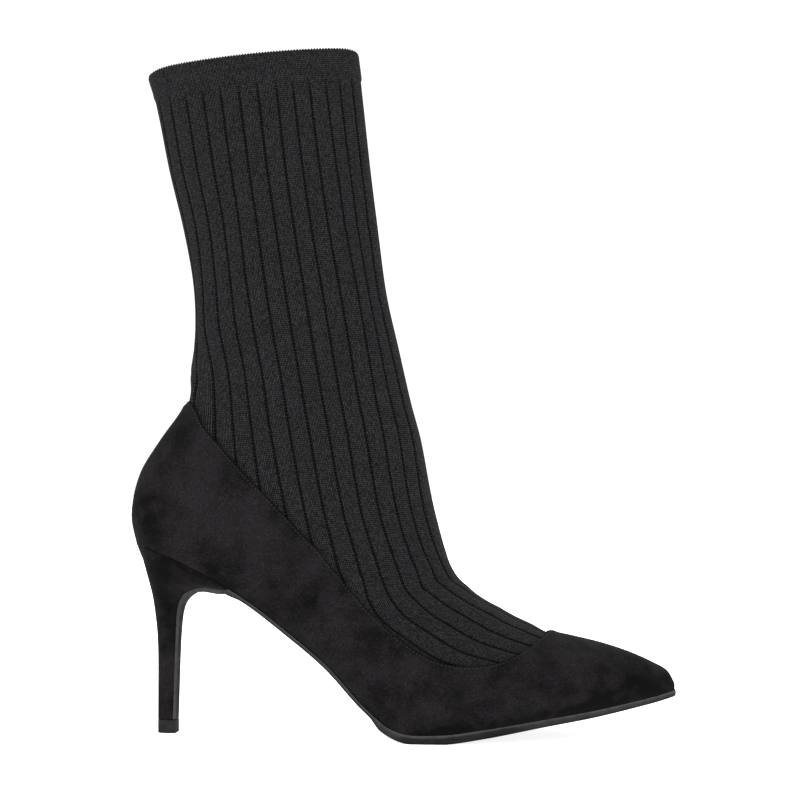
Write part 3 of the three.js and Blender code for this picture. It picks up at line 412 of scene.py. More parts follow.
class Form:
    """The boot's surfaces, in millimetres, from its sizes and tables"""

    def __init__(self, sizes):
        for name in BootSizes.__annotations__:
            setattr(self, name, getattr(sizes, name) / MM)
        self.sole_top = self.tread_gauge + self.fit_gap - self.tread_flat
        self.shell = self.fit_gap + self.suede_wall
        self.stem_x = STEM_BACK * self.last_length
        legs = [self.leg_ring(row) for row in LEG_RINGS]
        feet = [self.foot_ring(*rows) for rows in zip(RIDGE, UNDER, GIRTHS)]
        ring = Ring(*np.array(legs + feet).T)
        self.front_line = ring.front_x, ring.front_z
        self.back_line = ring.under_x[: SEAT_RING + 1], ring.under_z[: SEAT_RING + 1]
        self.sole_line = ring.under_x[SEAT_RING:], ring.under_z[SEAT_RING:]
        self.swing, self.nose, self.tail = ring.swing, ring.nose, ring.tail
        self.half = {OUTER: ring.outer ** 2, INNER: ring.inner ** 2}
        self.sole_half = {OUTER: ring.sole_outer[SEAT_RING:] ** 2, INNER: ring.sole_inner[SEAT_RING:] ** 2}
        self.edge_rings, self.edge_downs = np.array(TOPLINE).T
        self.peak = np.insert(self.under(self.edge_rings[:1])[0], 1, 0)
        self.rib_count = round(self.ends(np.array([0.0]), OUTER)[0] / self.rib_pitch)

    def leg_ring(self, row):
        middle, reach = row.middle * self.last_length, row.span * self.leg_span / 2
        half = row.half * self.leg_depth
        return (middle + reach, self.heel_height + row.front * self.leg_height,
                middle - reach, self.heel_height + row.back * self.leg_height,
                half, half, 0.0, 0.0, 0.0, row.nose, row.tail)

    def foot_height(self, row):
        heel_rise = row.lift * (self.heel_height - self.sole_top)
        return self.sole_top + heel_rise + row.spring * self.toe_spring + row.rise * self.instep_height

    def foot_ring(self, ridge, under, girth):
        width = self.heel_width + girth.fore * (self.ball_width - self.heel_width)
        widths = [share * width for share in (girth.outer, girth.inner, girth.sole_outer, girth.sole_inner)]
        return (ridge.along * self.last_length, self.foot_height(ridge),
                under.along * self.last_length, self.foot_height(under),
                *widths, girth.swing * self.ball_width, girth.nose, girth.tail)

    def front(self, ring):
        return curve(self.front_line, ring)

    def under(self, ring):
        ring = np.asarray(ring, float)
        back = curve(self.back_line, np.minimum(ring, SEAT_RING))
        sole = curve(self.sole_line, np.maximum(ring - SEAT_RING, 0))
        return np.where((ring < SEAT_RING)[..., None], back, sole)

    def oval(self, ring, side):
        """Half width, nose and tail of each ring's oval"""
        wide = np.sqrt(np.maximum(through(self.half[side], ring), 0))
        return [values[:, None] for values in (wide, through(self.nose, ring), through(self.tail, ring))]

    def half_ring(self, ring, side):
        """Points of half rings from the ridge down or round, and their runs from the ridge"""
        front, under = self.front(ring), self.under(ring)
        wide, nose, tail = self.oval(ring, side)
        on_sole = np.maximum(ring - SEAT_RING, 0)
        sole = np.sqrt(np.maximum(through(self.sole_half[side], on_sole), 0)) * (ring > SEAT_RING)
        along, width = half_oval(AROUND, wide, sole[:, None], nose, tail)
        width[:, -1] = sole
        crown = self.cuff_crown * np.maximum(1 - ring, 0)[:, None] * np.sin(np.pi * along)
        x = front[:, :1] + (under - front)[:, :1] * along
        z = front[:, 1:] + (under - front)[:, 1:] * along + crown
        y = through(self.swing, ring)[:, None] + side * width
        points = np.stack([x, y, z], -1)
        return points, distances(points, axis=1)

    def ends(self, ring, side):
        """Runs of whole half rings"""
        return self.half_ring(ring, side)[1][:, -1]

    def girth(self, ring, side):
        """Length of half rings as if they closed round under the foot"""
        chord = np.linalg.norm(self.under(ring) - self.front(ring), axis=-1)[:, None]
        wide, nose, tail = self.oval(ring, side)
        along, width = half_oval(AROUND, wide, np.zeros_like(wide), nose, tail)
        return np.hypot(np.diff(along * chord, axis=1), np.diff(width, axis=1)).sum(1)

    def point(self, ring, run, side):
        points, runs = self.half_ring(ring, side)
        return np.stack([sample(*row) for row in zip(np.clip(run, 0, runs[:, -1:]), runs, points)])

    @staticmethod
    def tangent(line, ring, low, high):
        return unit(line(np.minimum(ring + RING_NUDGE, high)) - line(np.maximum(ring - RING_NUDGE, low)))

    def down(self, ring):
        """The sole's own outward direction: down, square to seat, shank and tread"""
        return square(self.tangent(self.under, np.maximum(ring, SEAT_RING), SEAT_RING, TOE_RING))

    def outward(self, ring, run, side):
        """Outward direction of the skin, level with the sole at the feather edge"""
        end = self.ends(ring, side)[:, None]
        low = np.maximum(ring - RING_NUDGE, np.where(ring > SEAT_RING, SEAT_RING, 0))
        high = np.minimum(ring + RING_NUDGE, TOE_RING)
        before, after = (
            self.point(near, run / end * self.ends(near, side)[:, None], side) for near in (low, high))
        around = self.point(ring, run + RUN_NUDGE, side) - self.point(ring, run - RUN_NUDGE, side)
        away = unit(-side * np.cross(around, after - before))
        ridge = square(self.tangent(self.front, ring, 0, TOE_RING), -1)
        back = square(self.tangent(self.under, np.minimum(ring, SEAT_RING), 0, SEAT_RING))
        on_back = (run > end - TINY) & (ring <= SEAT_RING)[:, None]
        away = np.where((run < TINY)[..., None], ridge[:, None, :], away)
        away = np.where(on_back[..., None], back[:, None, :], away)
        tip = np.array([TOE_RING])
        away[ring > TOE_RING - TINY] = unit(square(self.front(tip) - self.under(tip)))[0]
        down = self.down(ring)[:, None, :]
        under = np.insert(self.under(ring), 1, 0, axis=1)[:, None, :]
        rise = ((under - self.point(ring, run, side)) * down).sum(-1)
        near = np.clip(1 - rise / FEATHER_RISE, 0, 1) * (ring >= SEAT_RING)[:, None]
        return unit(away - (near * (away * down).sum(-1))[..., None] * down)

    def skin(self, ring, run, side, proud):
        proud = np.broadcast_to(np.asarray(proud, float), run.shape)
        return self.point(ring, run, side) + self.outward(ring, run, side) * proud[..., None]

    def feather(self, ring, side, proud, depth):
        """Points of the feather edge, moved out and down"""
        run = self.ends(ring, side)[:, None]
        proud, depth = (np.broadcast_to(value, ring.shape)[:, None] for value in (proud, depth))
        return self.skin(ring, run, side, proud)[:, 0] + self.down(ring) * depth

    def topline(self, place, side):
        ring = through(self.edge_rings, place)
        run = through(self.edge_downs, place) * self.girth(ring, side)
        return ring, np.clip(run, 0, self.ends(ring, side))

    def topline_place(self, ring):
        """Place on the topline that has this ring"""
        places = np.linspace(0, TOPLINE_END, 40 * TOPLINE_END + 1)
        return np.interp(ring, through(self.edge_rings, places), places)

    def below_edge(self, place, side, distance):
        """The topline moved down the foot, square to itself"""
        ring, run = self.topline(place, side)
        low_ring, low_run = self.topline(np.maximum(place - RING_NUDGE, 0), side)
        high_ring, high_run = self.topline(np.minimum(place + RING_NUDGE, TOPLINE_END), side)
        low, high = (
            self.point(ring + nudge, run[:, None], side)[:, 0] for nudge in (-RING_NUDGE, RING_NUDGE))
        ring_length = np.linalg.norm(high - low, axis=-1) / (2 * RING_NUDGE)
        across, along = (high_ring - low_ring) * ring_length, high_run - low_run
        size = np.hypot(across, along)
        moved_ring = ring - distance * along / size / ring_length
        end = self.ends(moved_ring, side)
        moved_run = np.clip(run + distance * across / size, 0, end)
        return moved_ring, np.where(place <= 0, end, np.where(place >= TOPLINE_END, 0, moved_run))

    def under_suede(self, ring, run, side):
        """How far below the topline a point lies along its ring"""
        above = -np.linalg.norm(self.point(ring, run, side) - self.peak, axis=-1)
        edge = self.topline(self.topline_place(ring), side)[1]
        return np.where((ring <= self.edge_rings[0])[:, None], above, run - edge[:, None])

    def rib_run(self, half_ribs, ring, side):
        """Distance from the ridge of places across the knit counted in half ribs"""
        whole = self.ends(np.arange(len(KNIT_LIES)), side)
        laid = [through(np.array(column) * whole, ring) for column in zip(*KNIT_LIES)]
        runs = np.stack([np.zeros(len(ring)), *laid, self.ends(ring, side)], -1)
        place = np.interp(half_ribs / (2 * self.rib_count), KNIT_MARKS, np.arange(len(KNIT_MARKS)))
        low = np.minimum(np.floor(place).astype(int), len(KNIT_MARKS) - 2)
        reach = place - low
        return runs[:, low] * (1 - reach) + runs[:, low + 1] * reach

    def sole_gauge(self, ring):
        tread = smooth(ring, TREAD_START, TREAD_FULL) * (self.tread_gauge - self.shank_gauge)
        toe = smooth(ring, BALL_RING, TOE_RING) * (self.toe_gauge - self.tread_gauge)
        return self.shank_gauge + tread + toe

    def flap_depth(self, level):
        """Thickness of the flap, which thins out below the breast's flare"""
        flare = smooth(level, FLARE_SECTION, HEEL_TOP)
        return self.flap_gauge + (self.shank_gauge - self.flap_gauge) * flare

    def lip_rise(self, ring):
        """How far the sole's edge laps up the suede: most under the ball, and a little to the toe"""
        return self.sole_lip * smooth(ring, 17.6, 18.8) * (1 - 0.78 * smooth(ring, 19.9, 21.0))

    def sole_depth(self, ring):
        return self.fit_gap + (1 - smooth(ring, LIP_RING, SHANK_RING)) * (self.lip_gauge + self.fit_gap)

    def heel_section(self, level):
        """Back, front, half width and half face of the heel, at a level counted in rows of its table"""
        base = self.top_piece_height + self.fit_gap
        height = self.heel_height - base
        back_up, front_up, back, front, wide, face = (
            float(through(column, level)) for column in zip(*HEEL_SECTIONS))
        half = self.stem_width / 2 + wide * self.heel_width
        front_x = self.stem_x + self.stem_length + front * self.heel_width
        return (np.array([self.stem_x - back * self.heel_width, base + back_up * height]),
                np.array([front_x, base + front_up * height]), half, face * half)


# Soft troughs and ridges, each along a line of rings and shares of the way round, with its half width
# and its depth in millimetres. A ridge has a depth below 0.
Crease = namedtuple("Crease", "side width depth line")
KNIT_CREASES = [
    Crease(OUTER, 2.4, 0.75, [
        (11.1, 0.068), (11.9, 0.133), (13.0, 0.236), (13.74, 0.343), (14.24, 0.454), (14.9, 0.60)]),
    Crease(OUTER, 3.4, -0.5, [(9.8, 0.06), (10.6, 0.12), (11.6, 0.22), (12.5, 0.33), (13.0, 0.42)]),
    Crease(INNER, 2.6, 0.7, [(11.4, 0.05), (12.3, 0.13), (13.2, 0.24), (13.9, 0.35), (14.6, 0.50)]),
    Crease(INNER, 3.4, -0.45, [(10.0, 0.05), (10.9, 0.13), (11.8, 0.23), (12.7, 0.35)]),
    Crease(OUTER, 2.2, 0.5, [(2.85, 0.02), (2.95, 0.16), (3.0, 0.32)]),
    Crease(OUTER, 2.6, 0.25, [(2.95, 0.28), (2.9, 0.5), (2.75, 0.76)]),
    Crease(OUTER, 2.6, -0.25, [(2.5, 0.05), (2.6, 0.3), (2.5, 0.6)]),
    Crease(INNER, 2.4, 0.4, [(3.1, 0.05), (3.0, 0.3), (2.8, 0.55)]),
    Crease(OUTER, 1.6, 0.7, [(5.6, 0.97), (6.3, 0.91), (6.74, 0.865), (7.3, 0.842)]),
    Crease(OUTER, 1.8, -0.5, [(5.9, 0.99), (6.5, 0.94), (6.9, 0.90)]),
    Crease(OUTER, 2.0, 0.3, [(5.3, 0.95), (5.9, 0.86), (6.5, 0.80)]),
    Crease(INNER, 1.7, 0.6, [(5.6, 0.97), (6.2, 0.91), (6.7, 0.86), (7.2, 0.83)]),
    Crease(INNER, 1.8, -0.4, [(5.9, 0.99), (6.4, 0.95), (6.8, 0.90)]),
    Crease(OUTER, 3.5, 0.25, [(8.3, 0.02), (8.6, 0.15), (8.9, 0.30)]),
]
SUEDE_CREASES = [
    *(Crease(side, 5.0, 0.22, [(18.6, 0.62), (19.5, 0.44), (20.4, 0.25)]) for side in SIDES),
    *(Crease(side, 6.0, 0.30, [(12.6, 0.62), (13.6, 0.72), (14.6, 0.80)]) for side in SIDES),
    Crease(OUTER, 6.0, 0.22, [(9.0, 0.90), (9.8, 0.85), (10.6, 0.80)]),
]


def nearest_on_line(points, line):
    """Distance from each point to a line of corners, and how far along the line that is, from 0 to 1"""
    nearest, along = np.full(points.shape[:-1], np.inf), np.zeros(points.shape[:-1])
    for index, (start, end) in enumerate(zip(line[:-1], line[1:])):
        across = end - start
        share = np.clip(((points - start) @ across) / max(across @ across, 1e-12), 0, 1)
        away = np.linalg.norm(points - start - share[..., None] * across, axis=-1)
        along = np.where(away < nearest, (index + share) / (len(line) - 1), along)
        nearest = np.minimum(away, nearest)
    return nearest, along


def crease_depth(form, creases, side, ring, run):
    """Sum of the creases at each point, measured along the skin"""
    here, depth = form.point(ring, run, side), np.zeros(run.shape)
    for crease in creases:
        if crease.side == side:
            steps = np.linspace(0, len(crease.line) - 1, 4 * len(crease.line))
            rings, shares = (through(column, steps) for column in zip(*crease.line))
            line = form.point(rings, (shares * form.ends(rings, side))[:, None], side)[:, 0]
            away, along = nearest_on_line(here, line)
            fade = np.sin(np.pi * np.clip(along, 0.04, 0.96)) ** 0.6
            depth += crease.depth * bell(away, crease.width) * fade
    return depth


class Skin:
    """Gathers grids of points into one mesh whose shared corners are welded"""

    def __init__(self):
        self.corners, self.faces, self.maps, self.marks = [], [], [], []
        self.count = 0

    def grid(self, points, flip=False, fabric=None, mark=0.0):
        rows, columns = points.shape[:2]
        index = self.count + np.arange(rows * columns).reshape(rows, columns)
        faces = np.stack([index[:-1, :-1], index[:-1, 1:], index[1:, 1:], index[1:, :-1]], -1)
        faces = faces.reshape(-1, 4)
        self.faces.append(faces[:, ::-1] if flip else faces)
        self.corners.append(points.reshape(-1, 3))
        self.maps.append(np.zeros((rows * columns, 2)) if fabric is None else fabric.reshape(-1, 2))
        self.marks.append(np.broadcast_to(np.asarray(mark, float), (rows, columns)).reshape(-1))
        self.count += rows * columns

    def wrap(self, loops, mark_of=None):
        """A grid round closed loops, each one half there and one half back, with a cap at both ends"""
        body = np.stack(loops)
        body = np.concatenate([body, body[:, :1]], 1)
        self.grid(body, mark=mark_of(body) if mark_of else 0.0)
        half = len(loops[0]) // 2
        for loop, flip in ((loops[0], True), (loops[-1], False)):
            self.grid(np.stack([loop[:half], loop[half:][::-1]]), flip)

    def string(self, bead, centres, *axes, fabric=None):
        """Copies of one bead along a line, each turned to its own three axes"""
        for centre, *turned in zip(centres, *axes):
            self.grid(centre + bead @ np.stack(turned), True, fabric)

    def build(self, name, origin, sharp=None):
        """One welded mesh object. Corners that fall together are joined, and empty faces dropped."""
        corners, fabric, marks, faces = (
            np.concatenate(part) for part in (self.corners, self.maps, self.marks, self.faces))
        keys = np.round(corners * 1000).astype(np.int64)
        _, first, weld = np.unique(keys, axis=0, return_index=True, return_inverse=True)
        joined = weld.reshape(-1)[faces]
        same = joined == np.roll(joined, -1, axis=1)
        opposite = (joined[:, 0] == joined[:, 2]) | (joined[:, 1] == joined[:, 3])
        whole, three = ((same.sum(1) == twins) & ~opposite for twins in (0, 1))
        corner_lists, source = joined[whole].tolist(), list(faces[whole])
        for face, wide, twin in zip(joined[three], faces[three], same[three]):
            corner_lists.append(face[~twin].tolist())
            source.append(wide[~twin])
        mesh = bpy.data.meshes.new(name)
        mesh.from_pydata((corners[first] + np.asarray(origin)) * MM, [], corner_lists)
        layer = mesh.uv_layers.new(name="fabric")
        layer.data.foreach_set("uv", fabric[np.concatenate(source)].astype(np.float32).reshape(-1))
        mark = mesh.attributes.new("mark", "FLOAT", "POINT")
        mark.data.foreach_set("value", marks[first].astype(np.float32))
        mesh.validate()
        mesh.shade_smooth()
        if sharp is not None:
            mesh.set_sharp_from_angle(angle=math.radians(sharp))
        piece = bpy.data.objects.new(name, mesh)
        bpy.context.scene.collection.objects.link(piece)
        return piece


def settle(piece, material, slot, *nodes):
    """Gives a piece its material and its place in the frame"""
    piece.data.materials.append(material)
    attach(piece, "root")
    if nodes:
        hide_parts(*nodes)


class Wire:
    """A value in a node material, which can be added, multiplied and so on"""

    def __init__(self, finish, socket):
        self.finish, self.socket = finish, socket

    def __add__(self, other):
        return self.finish.math("ADD", self, other)

    def __sub__(self, other):
        return self.finish.math("SUBTRACT", self, other)

    def __mul__(self, other):
        return self.finish.math("MULTIPLY", self, other)

    def __truediv__(self, other):
        return self.finish.math("DIVIDE", self, other)


class Finish:
    """Short calls for building a node material"""

    def __init__(self, name, roughness, specular, sheen=0.0, sheen_roughness=0.5):
        self.material = bpy.data.materials.new(name)
        self.material.use_nodes = True
        self.tree = self.material.node_tree
        self.set("Roughness", roughness)
        self.set("Specular IOR Level", specular)
        self.set("Sheen Weight", sheen)
        self.set("Sheen Roughness", sheen_roughness)

    def put(self, socket, value):
        if isinstance(value, Wire):
            self.tree.links.new(value.socket, socket)
        elif value is not None:
            socket.default_value = value

    def set(self, name, value):
        self.put(self.tree.nodes["Principled BSDF"].inputs[name], value)

    def node(self, kind, sockets, output=0, **settings):
        """One output of a new node, with its settings made and its sockets filled"""
        node = self.tree.nodes.new("ShaderNode" + kind)
        for name, value in settings.items():
            setattr(node, name, value)
        for key, value in sockets.items():
            self.put(node.inputs[key], value)
        return Wire(self, node.outputs[output])

    def math(self, operation, *values, clamp=False):
        return self.node("Math", dict(enumerate(values)), operation=operation, use_clamp=clamp)

    def ramp(self, value, low, high, to_low=0.0, to_high=1.0):
        sockets = dict(enumerate((value, low, high, to_low, to_high)))
        return self.node("MapRange", sockets, interpolation_type="SMOOTHSTEP")

    def mix(self, share, *tones):
        first, second = (tone if isinstance(tone, Wire) else (*tone, 1) for tone in tones)
        return self.node("Mix", {0: share, 6: first, 7: second}, 2, data_type="RGBA")

    def noise(self, scale, detail, roughness, stretch=None):
        """Noise in the piece's own space, with scale in cells per metre"""
        place = self.space()
        if stretch:
            place = self.node("Mapping", {"Vector": place, "Scale": stretch})
        sockets = {"Vector": place, "Scale": scale, "Detail": detail, "Roughness": roughness}
        return self.node("TexNoise", sockets, "Fac")

    def lot(self, across, along):
        """A random number for each pair of whole numbers"""
        cell = self.node("CombineXYZ", {0: self.math("FLOOR", across), 1: self.math("FLOOR", along)})
        return self.node("TexWhiteNoise", {"Vector": cell}, "Value", noise_dimensions="2D")

    def space(self):
        return self.node("TexCoord", {}, "Object")

    def axis(self, vector, index):
        return self.node("SeparateXYZ", {0: vector}, index)

    def facing_down(self):
        """1 where the surface faces the floor"""
        return self.ramp(self.axis(self.node("NewGeometry", {}, "Normal"), 2), -0.8, -0.6, 1, 0)

    def fabric(self):
        """The two lengths of the fabric map, in millimetres"""
        place = self.node("UVMap", {}, uv_map="fabric")
        return self.axis(place, 0), self.axis(place, 1)

    def mark(self):
        return self.node("Attribute", {}, "Fac", attribute_name="mark")

    def bump(self, height, distance, strength, below=None):
        sockets = {"Strength": strength, "Distance": distance, "Height": height, "Normal": below}
        normal = self.node("Bump", sockets)
        self.set("Normal", normal)
        return normal

    def paint(self, value):
        self.set("Base Color", value)


def shade(tone, red, green=None, blue=None):
    """A tone made lighter or darker, evenly or with a tint"""
    return tuple(value * scale for value, scale in zip(tone, (red, green or red, blue or red)))


def knit_finish(sizes, colours):
    """Rib knit: columns of small leaning loops with painted shade between them and painted glints on them,
    and a serrated painted shadow along the groove between ribs
    """
    finish = Finish("rib_knit", 0.95, 0.03, 0.02, 0.6)
    knit = colours.knit
    across, down = finish.fabric()
    wale, course, pitch, band = (
        value / MM for value in (sizes.wale, sizes.course, sizes.rib_pitch, sizes.cuff_band))
    column = across / wale
    leg = finish.math("PINGPONG", column, 0.5)
    lean = leg * 0.5 + down / course
    wave = finish.math("COSINE", lean * FULL_TURN)
    split = finish.math("SINE", leg * FULL_TURN)
    loop = (wave * 0.5 + 0.5) * (split * 0.6 + 0.4)
    finish.bump(finish.noise(2300, 3, 0.7) * 0.5 + loop, 0.00022, 0.9)
    each = finish.lot(column * 2, lean + 0.5)
    teeth = finish.math("SINE", down * (FULL_TURN / (1.6 * course)))
    near = teeth * 0.15 + finish.math("PINGPONG", across, pitch / 2)
    groove_number = finish.math("ROUND", across / pitch)
    below = down - (finish.lot(groove_number, 0.0) * 0.9 + band)
    near = near / finish.ramp(below, 0.2, 7.0, 0.55, 1.0)
    ribbed = finish.math("GREATER_THAN", below, 0.2)
    seam = finish.math("LESS_THAN", across, (KNIT_GROOVES - 0.5) * pitch)
    # Painted shadow along each groove between ribs, serrated, below the cuff band and short of the back
    # seam
    groove = finish.ramp(near, 0.28, 0.54, 1, 0) * (ribbed * seam)
    cloud = finish.ramp(finish.noise(70, 3, 0.55), 0.36, 0.64)
    yarn = finish.mix(cloud, shade(knit, 0.92), shade(knit, 1.08, 1.07, 1.03))
    tint = finish.ramp(finish.noise(150, 2, 0.5), 0.5, 0.66)
    yarn = finish.mix(tint, yarn, shade(knit, 0.97, 0.92, 1.1))
    # Yarn tone rises with each loop's height, the crests of its two legs, a random number per loop and fine
    # noise. Where it is low the yarn is painted near black, as shade between the loops; where it is highest
    # it is up to five times lighter, as painted glints.
    tone = loop * 0.16 + each * 0.12 + split * 0.36 + finish.noise(1350, 4, 0.95)
    yarn = finish.mix(finish.ramp(tone, 0.60, 0.89), shade(knit, 0.1), yarn)
    yarn = finish.mix(finish.ramp(tone, 0.86, 1.13), yarn, shade(knit, 5.2, 5.15, 5.35))
    finish.paint(finish.mix(groove, yarn, colours.knit_groove))
    return finish.material


def suede_finish(colours):
    """Suede: short nap in soft clouds, lighter and darker where mark says (listed patches and painted
    shade), with a fine grain and rare painted glints on the nap's tips
    """
    finish = Finish("suede", 1.0, 0.015, 0.02, 0.5)
    flat, brushed = colours.suede, colours.suede_brushed
    mood = finish.ramp(finish.noise(48, 3, 0.5), 0.34, 0.66, -0.2, 0.2)
    mood += finish.ramp(finish.noise(120, 2, 0.5), 0.3, 0.7, -0.17, 0.17)
    mood += finish.mark()
    strokes = finish.noise(700, 3, 0.7, stretch=(1.0, 1.0, 2.0))
    mood += finish.ramp(strokes, 0.34, 0.66, -0.14, 0.14)
    base = finish.mix(finish.math("ADD", mood, 0.5, clamp=True), flat, brushed)
    for scale, low, tint in ((120, 0.55, (1.0, 0.84, 1.08)), (95, 0.53, (1.02, 0.92, 0.84))):
        share = finish.ramp(finish.noise(scale, 2, 0.5), low, 0.7, 0, 0.4)
        base = finish.mix(share, base, shade(brushed, *tint))
    nap = finish.noise(1300, 4, 0.85)
    base = finish.mix(finish.ramp(nap, 0.3, 0.5, 0.85, 0.0), base, shade(flat, 0.3))
    # Painted glints: rare bright specks on the nap's tips, stronger where the suede is lighter
    tips = finish.ramp(finish.noise(1600, 3, 0.9), 0.5, 0.68, 0.0, 0.7)
    finish.paint(finish.mix(tips * finish.ramp(mood, -0.5, 0.3, 0.12, 1.0), base, shade(brushed, 2.6)))
    finish.bump(strokes, 0.0002, 0.35, below=finish.bump(nap, 0.00014, 0.8))
    return finish.material


def thread_finish(colours):
    finish = Finish("stitch_thread", 0.7, 0.25, 0.05)
    twist = finish.noise(3000, 2, 0.6)
    finish.paint(finish.mix(twist, shade(colours.thread, 0.6), colours.thread))
    finish.bump(twist, 0.0001, 0.6)
    return finish.material


def sock_finish(colours):
    """Insole cover: soft synthetic leather with a pebbled grain and light rubs"""
    finish = Finish("insole_cover", 0.7, 0.3)
    worn = finish.noise(30, 3, 0.6)
    finish.paint(finish.mix(finish.ramp(worn, 0.35, 0.7), shade(colours.sock, 0.75), colours.sock))
    finish.set("Roughness", finish.ramp(worn, 0.3, 0.7, 0.75, 0.55))
    finish.bump(finish.noise(900, 4, 0.6), 0.0002, 0.5)
    return finish.material


def sole_finish(colours):
    """Sole rubber: a painted highlight on the edge's upper rim, painted shade in its lower corner, drag
    lines and a matt tread
    """
    finish = Finish("sole_rubber", 0.75, 0.02)
    sole = colours.sole
    rub = finish.noise(260, 4, 0.65)
    body = finish.mix(finish.ramp(rub, 0.3, 0.7), shade(sole, 0.82), shade(sole, 1.1))
    # Painted highlight where mark is above 0, varied by the rubber's noise
    rim = finish.math("MULTIPLY", finish.mark(), finish.ramp(rub, 0.3, 0.62, 0.6, 1.0), clamp=True)
    # Painted shade where mark is below 0, in the edge's lower corner
    low = finish.math("MULTIPLY", finish.mark(), -1.0, clamp=True)
    edge = finish.mix(low, finish.mix(rim, body, colours.sole_rim_highlight), shade(sole, 0.25))
    drag = finish.noise(150, 3, 0.6, stretch=(0.35, 1.0, 3.0))
    finish.paint(finish.mix(finish.ramp(drag, 0.55, 0.75, 0, 0.3), edge, shade(sole, 1.5)))
    finish.set("Roughness", finish.ramp(rub, 0.3, 0.7, 0.85, 0.6))
    place = finish.space()
    waves = finish.math("SINE", finish.axis(place, 1) * (FULL_TURN / (3.2 * MM)))
    ridges = waves * 0.0022 + finish.axis(place, 0)
    tread = finish.math("SINE", ridges * (FULL_TURN / (1.6 * MM)))
    grain = finish.bump(finish.noise(1900, 3, 0.6), 0.00015, 0.5)
    finish.bump(tread * 0.5 * finish.facing_down(), 0.0003, 0.7, below=grain)
    return finish.material


def lift_finish(colours):
    finish = Finish("lift_rubber", 0.75, 0.02)
    rub = finish.ramp(finish.noise(240, 3, 0.6), 0.3, 0.7)
    finish.paint(finish.mix(rub, shade(colours.top_piece, 0.8), shade(colours.top_piece, 1.2)))
    finish.bump(finish.noise(1300, 4, 0.7), 0.00015, 0.5)
    return finish.material


def form_and_origin(context):
    """The form, and the shift from the last's own frame to the boot's"""
    form = Form(context.scene.boot_sizes)
    low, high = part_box("top_piece")
    return form, (low.x / MM - form.stem_x, (low.y + high.y) / 2 / MM, 0.0)


def knit_columns(form):
    """Places across the knit in half ribs, close together at each groove, and their distance to a groove"""
    around = np.array([-0.62, -0.34, -0.19, -0.09, 0.0, 0.09, 0.19, 0.34, 0.62])
    grooves = [2 * rib + around for rib in range(form.rib_count)]
    crowns = 2 * np.arange(form.rib_count + 1) - 1.0
    back = 2 * form.rib_count + np.array([-0.5, 0.0])
    places = np.unique(np.concatenate([*grooves, crowns, back]))
    places = places[places >= 0]
    groove = np.clip(np.round(places / 2), 0, form.rib_count - 1)
    return places, np.abs(places - 2 * groove) * form.rib_pitch / 2


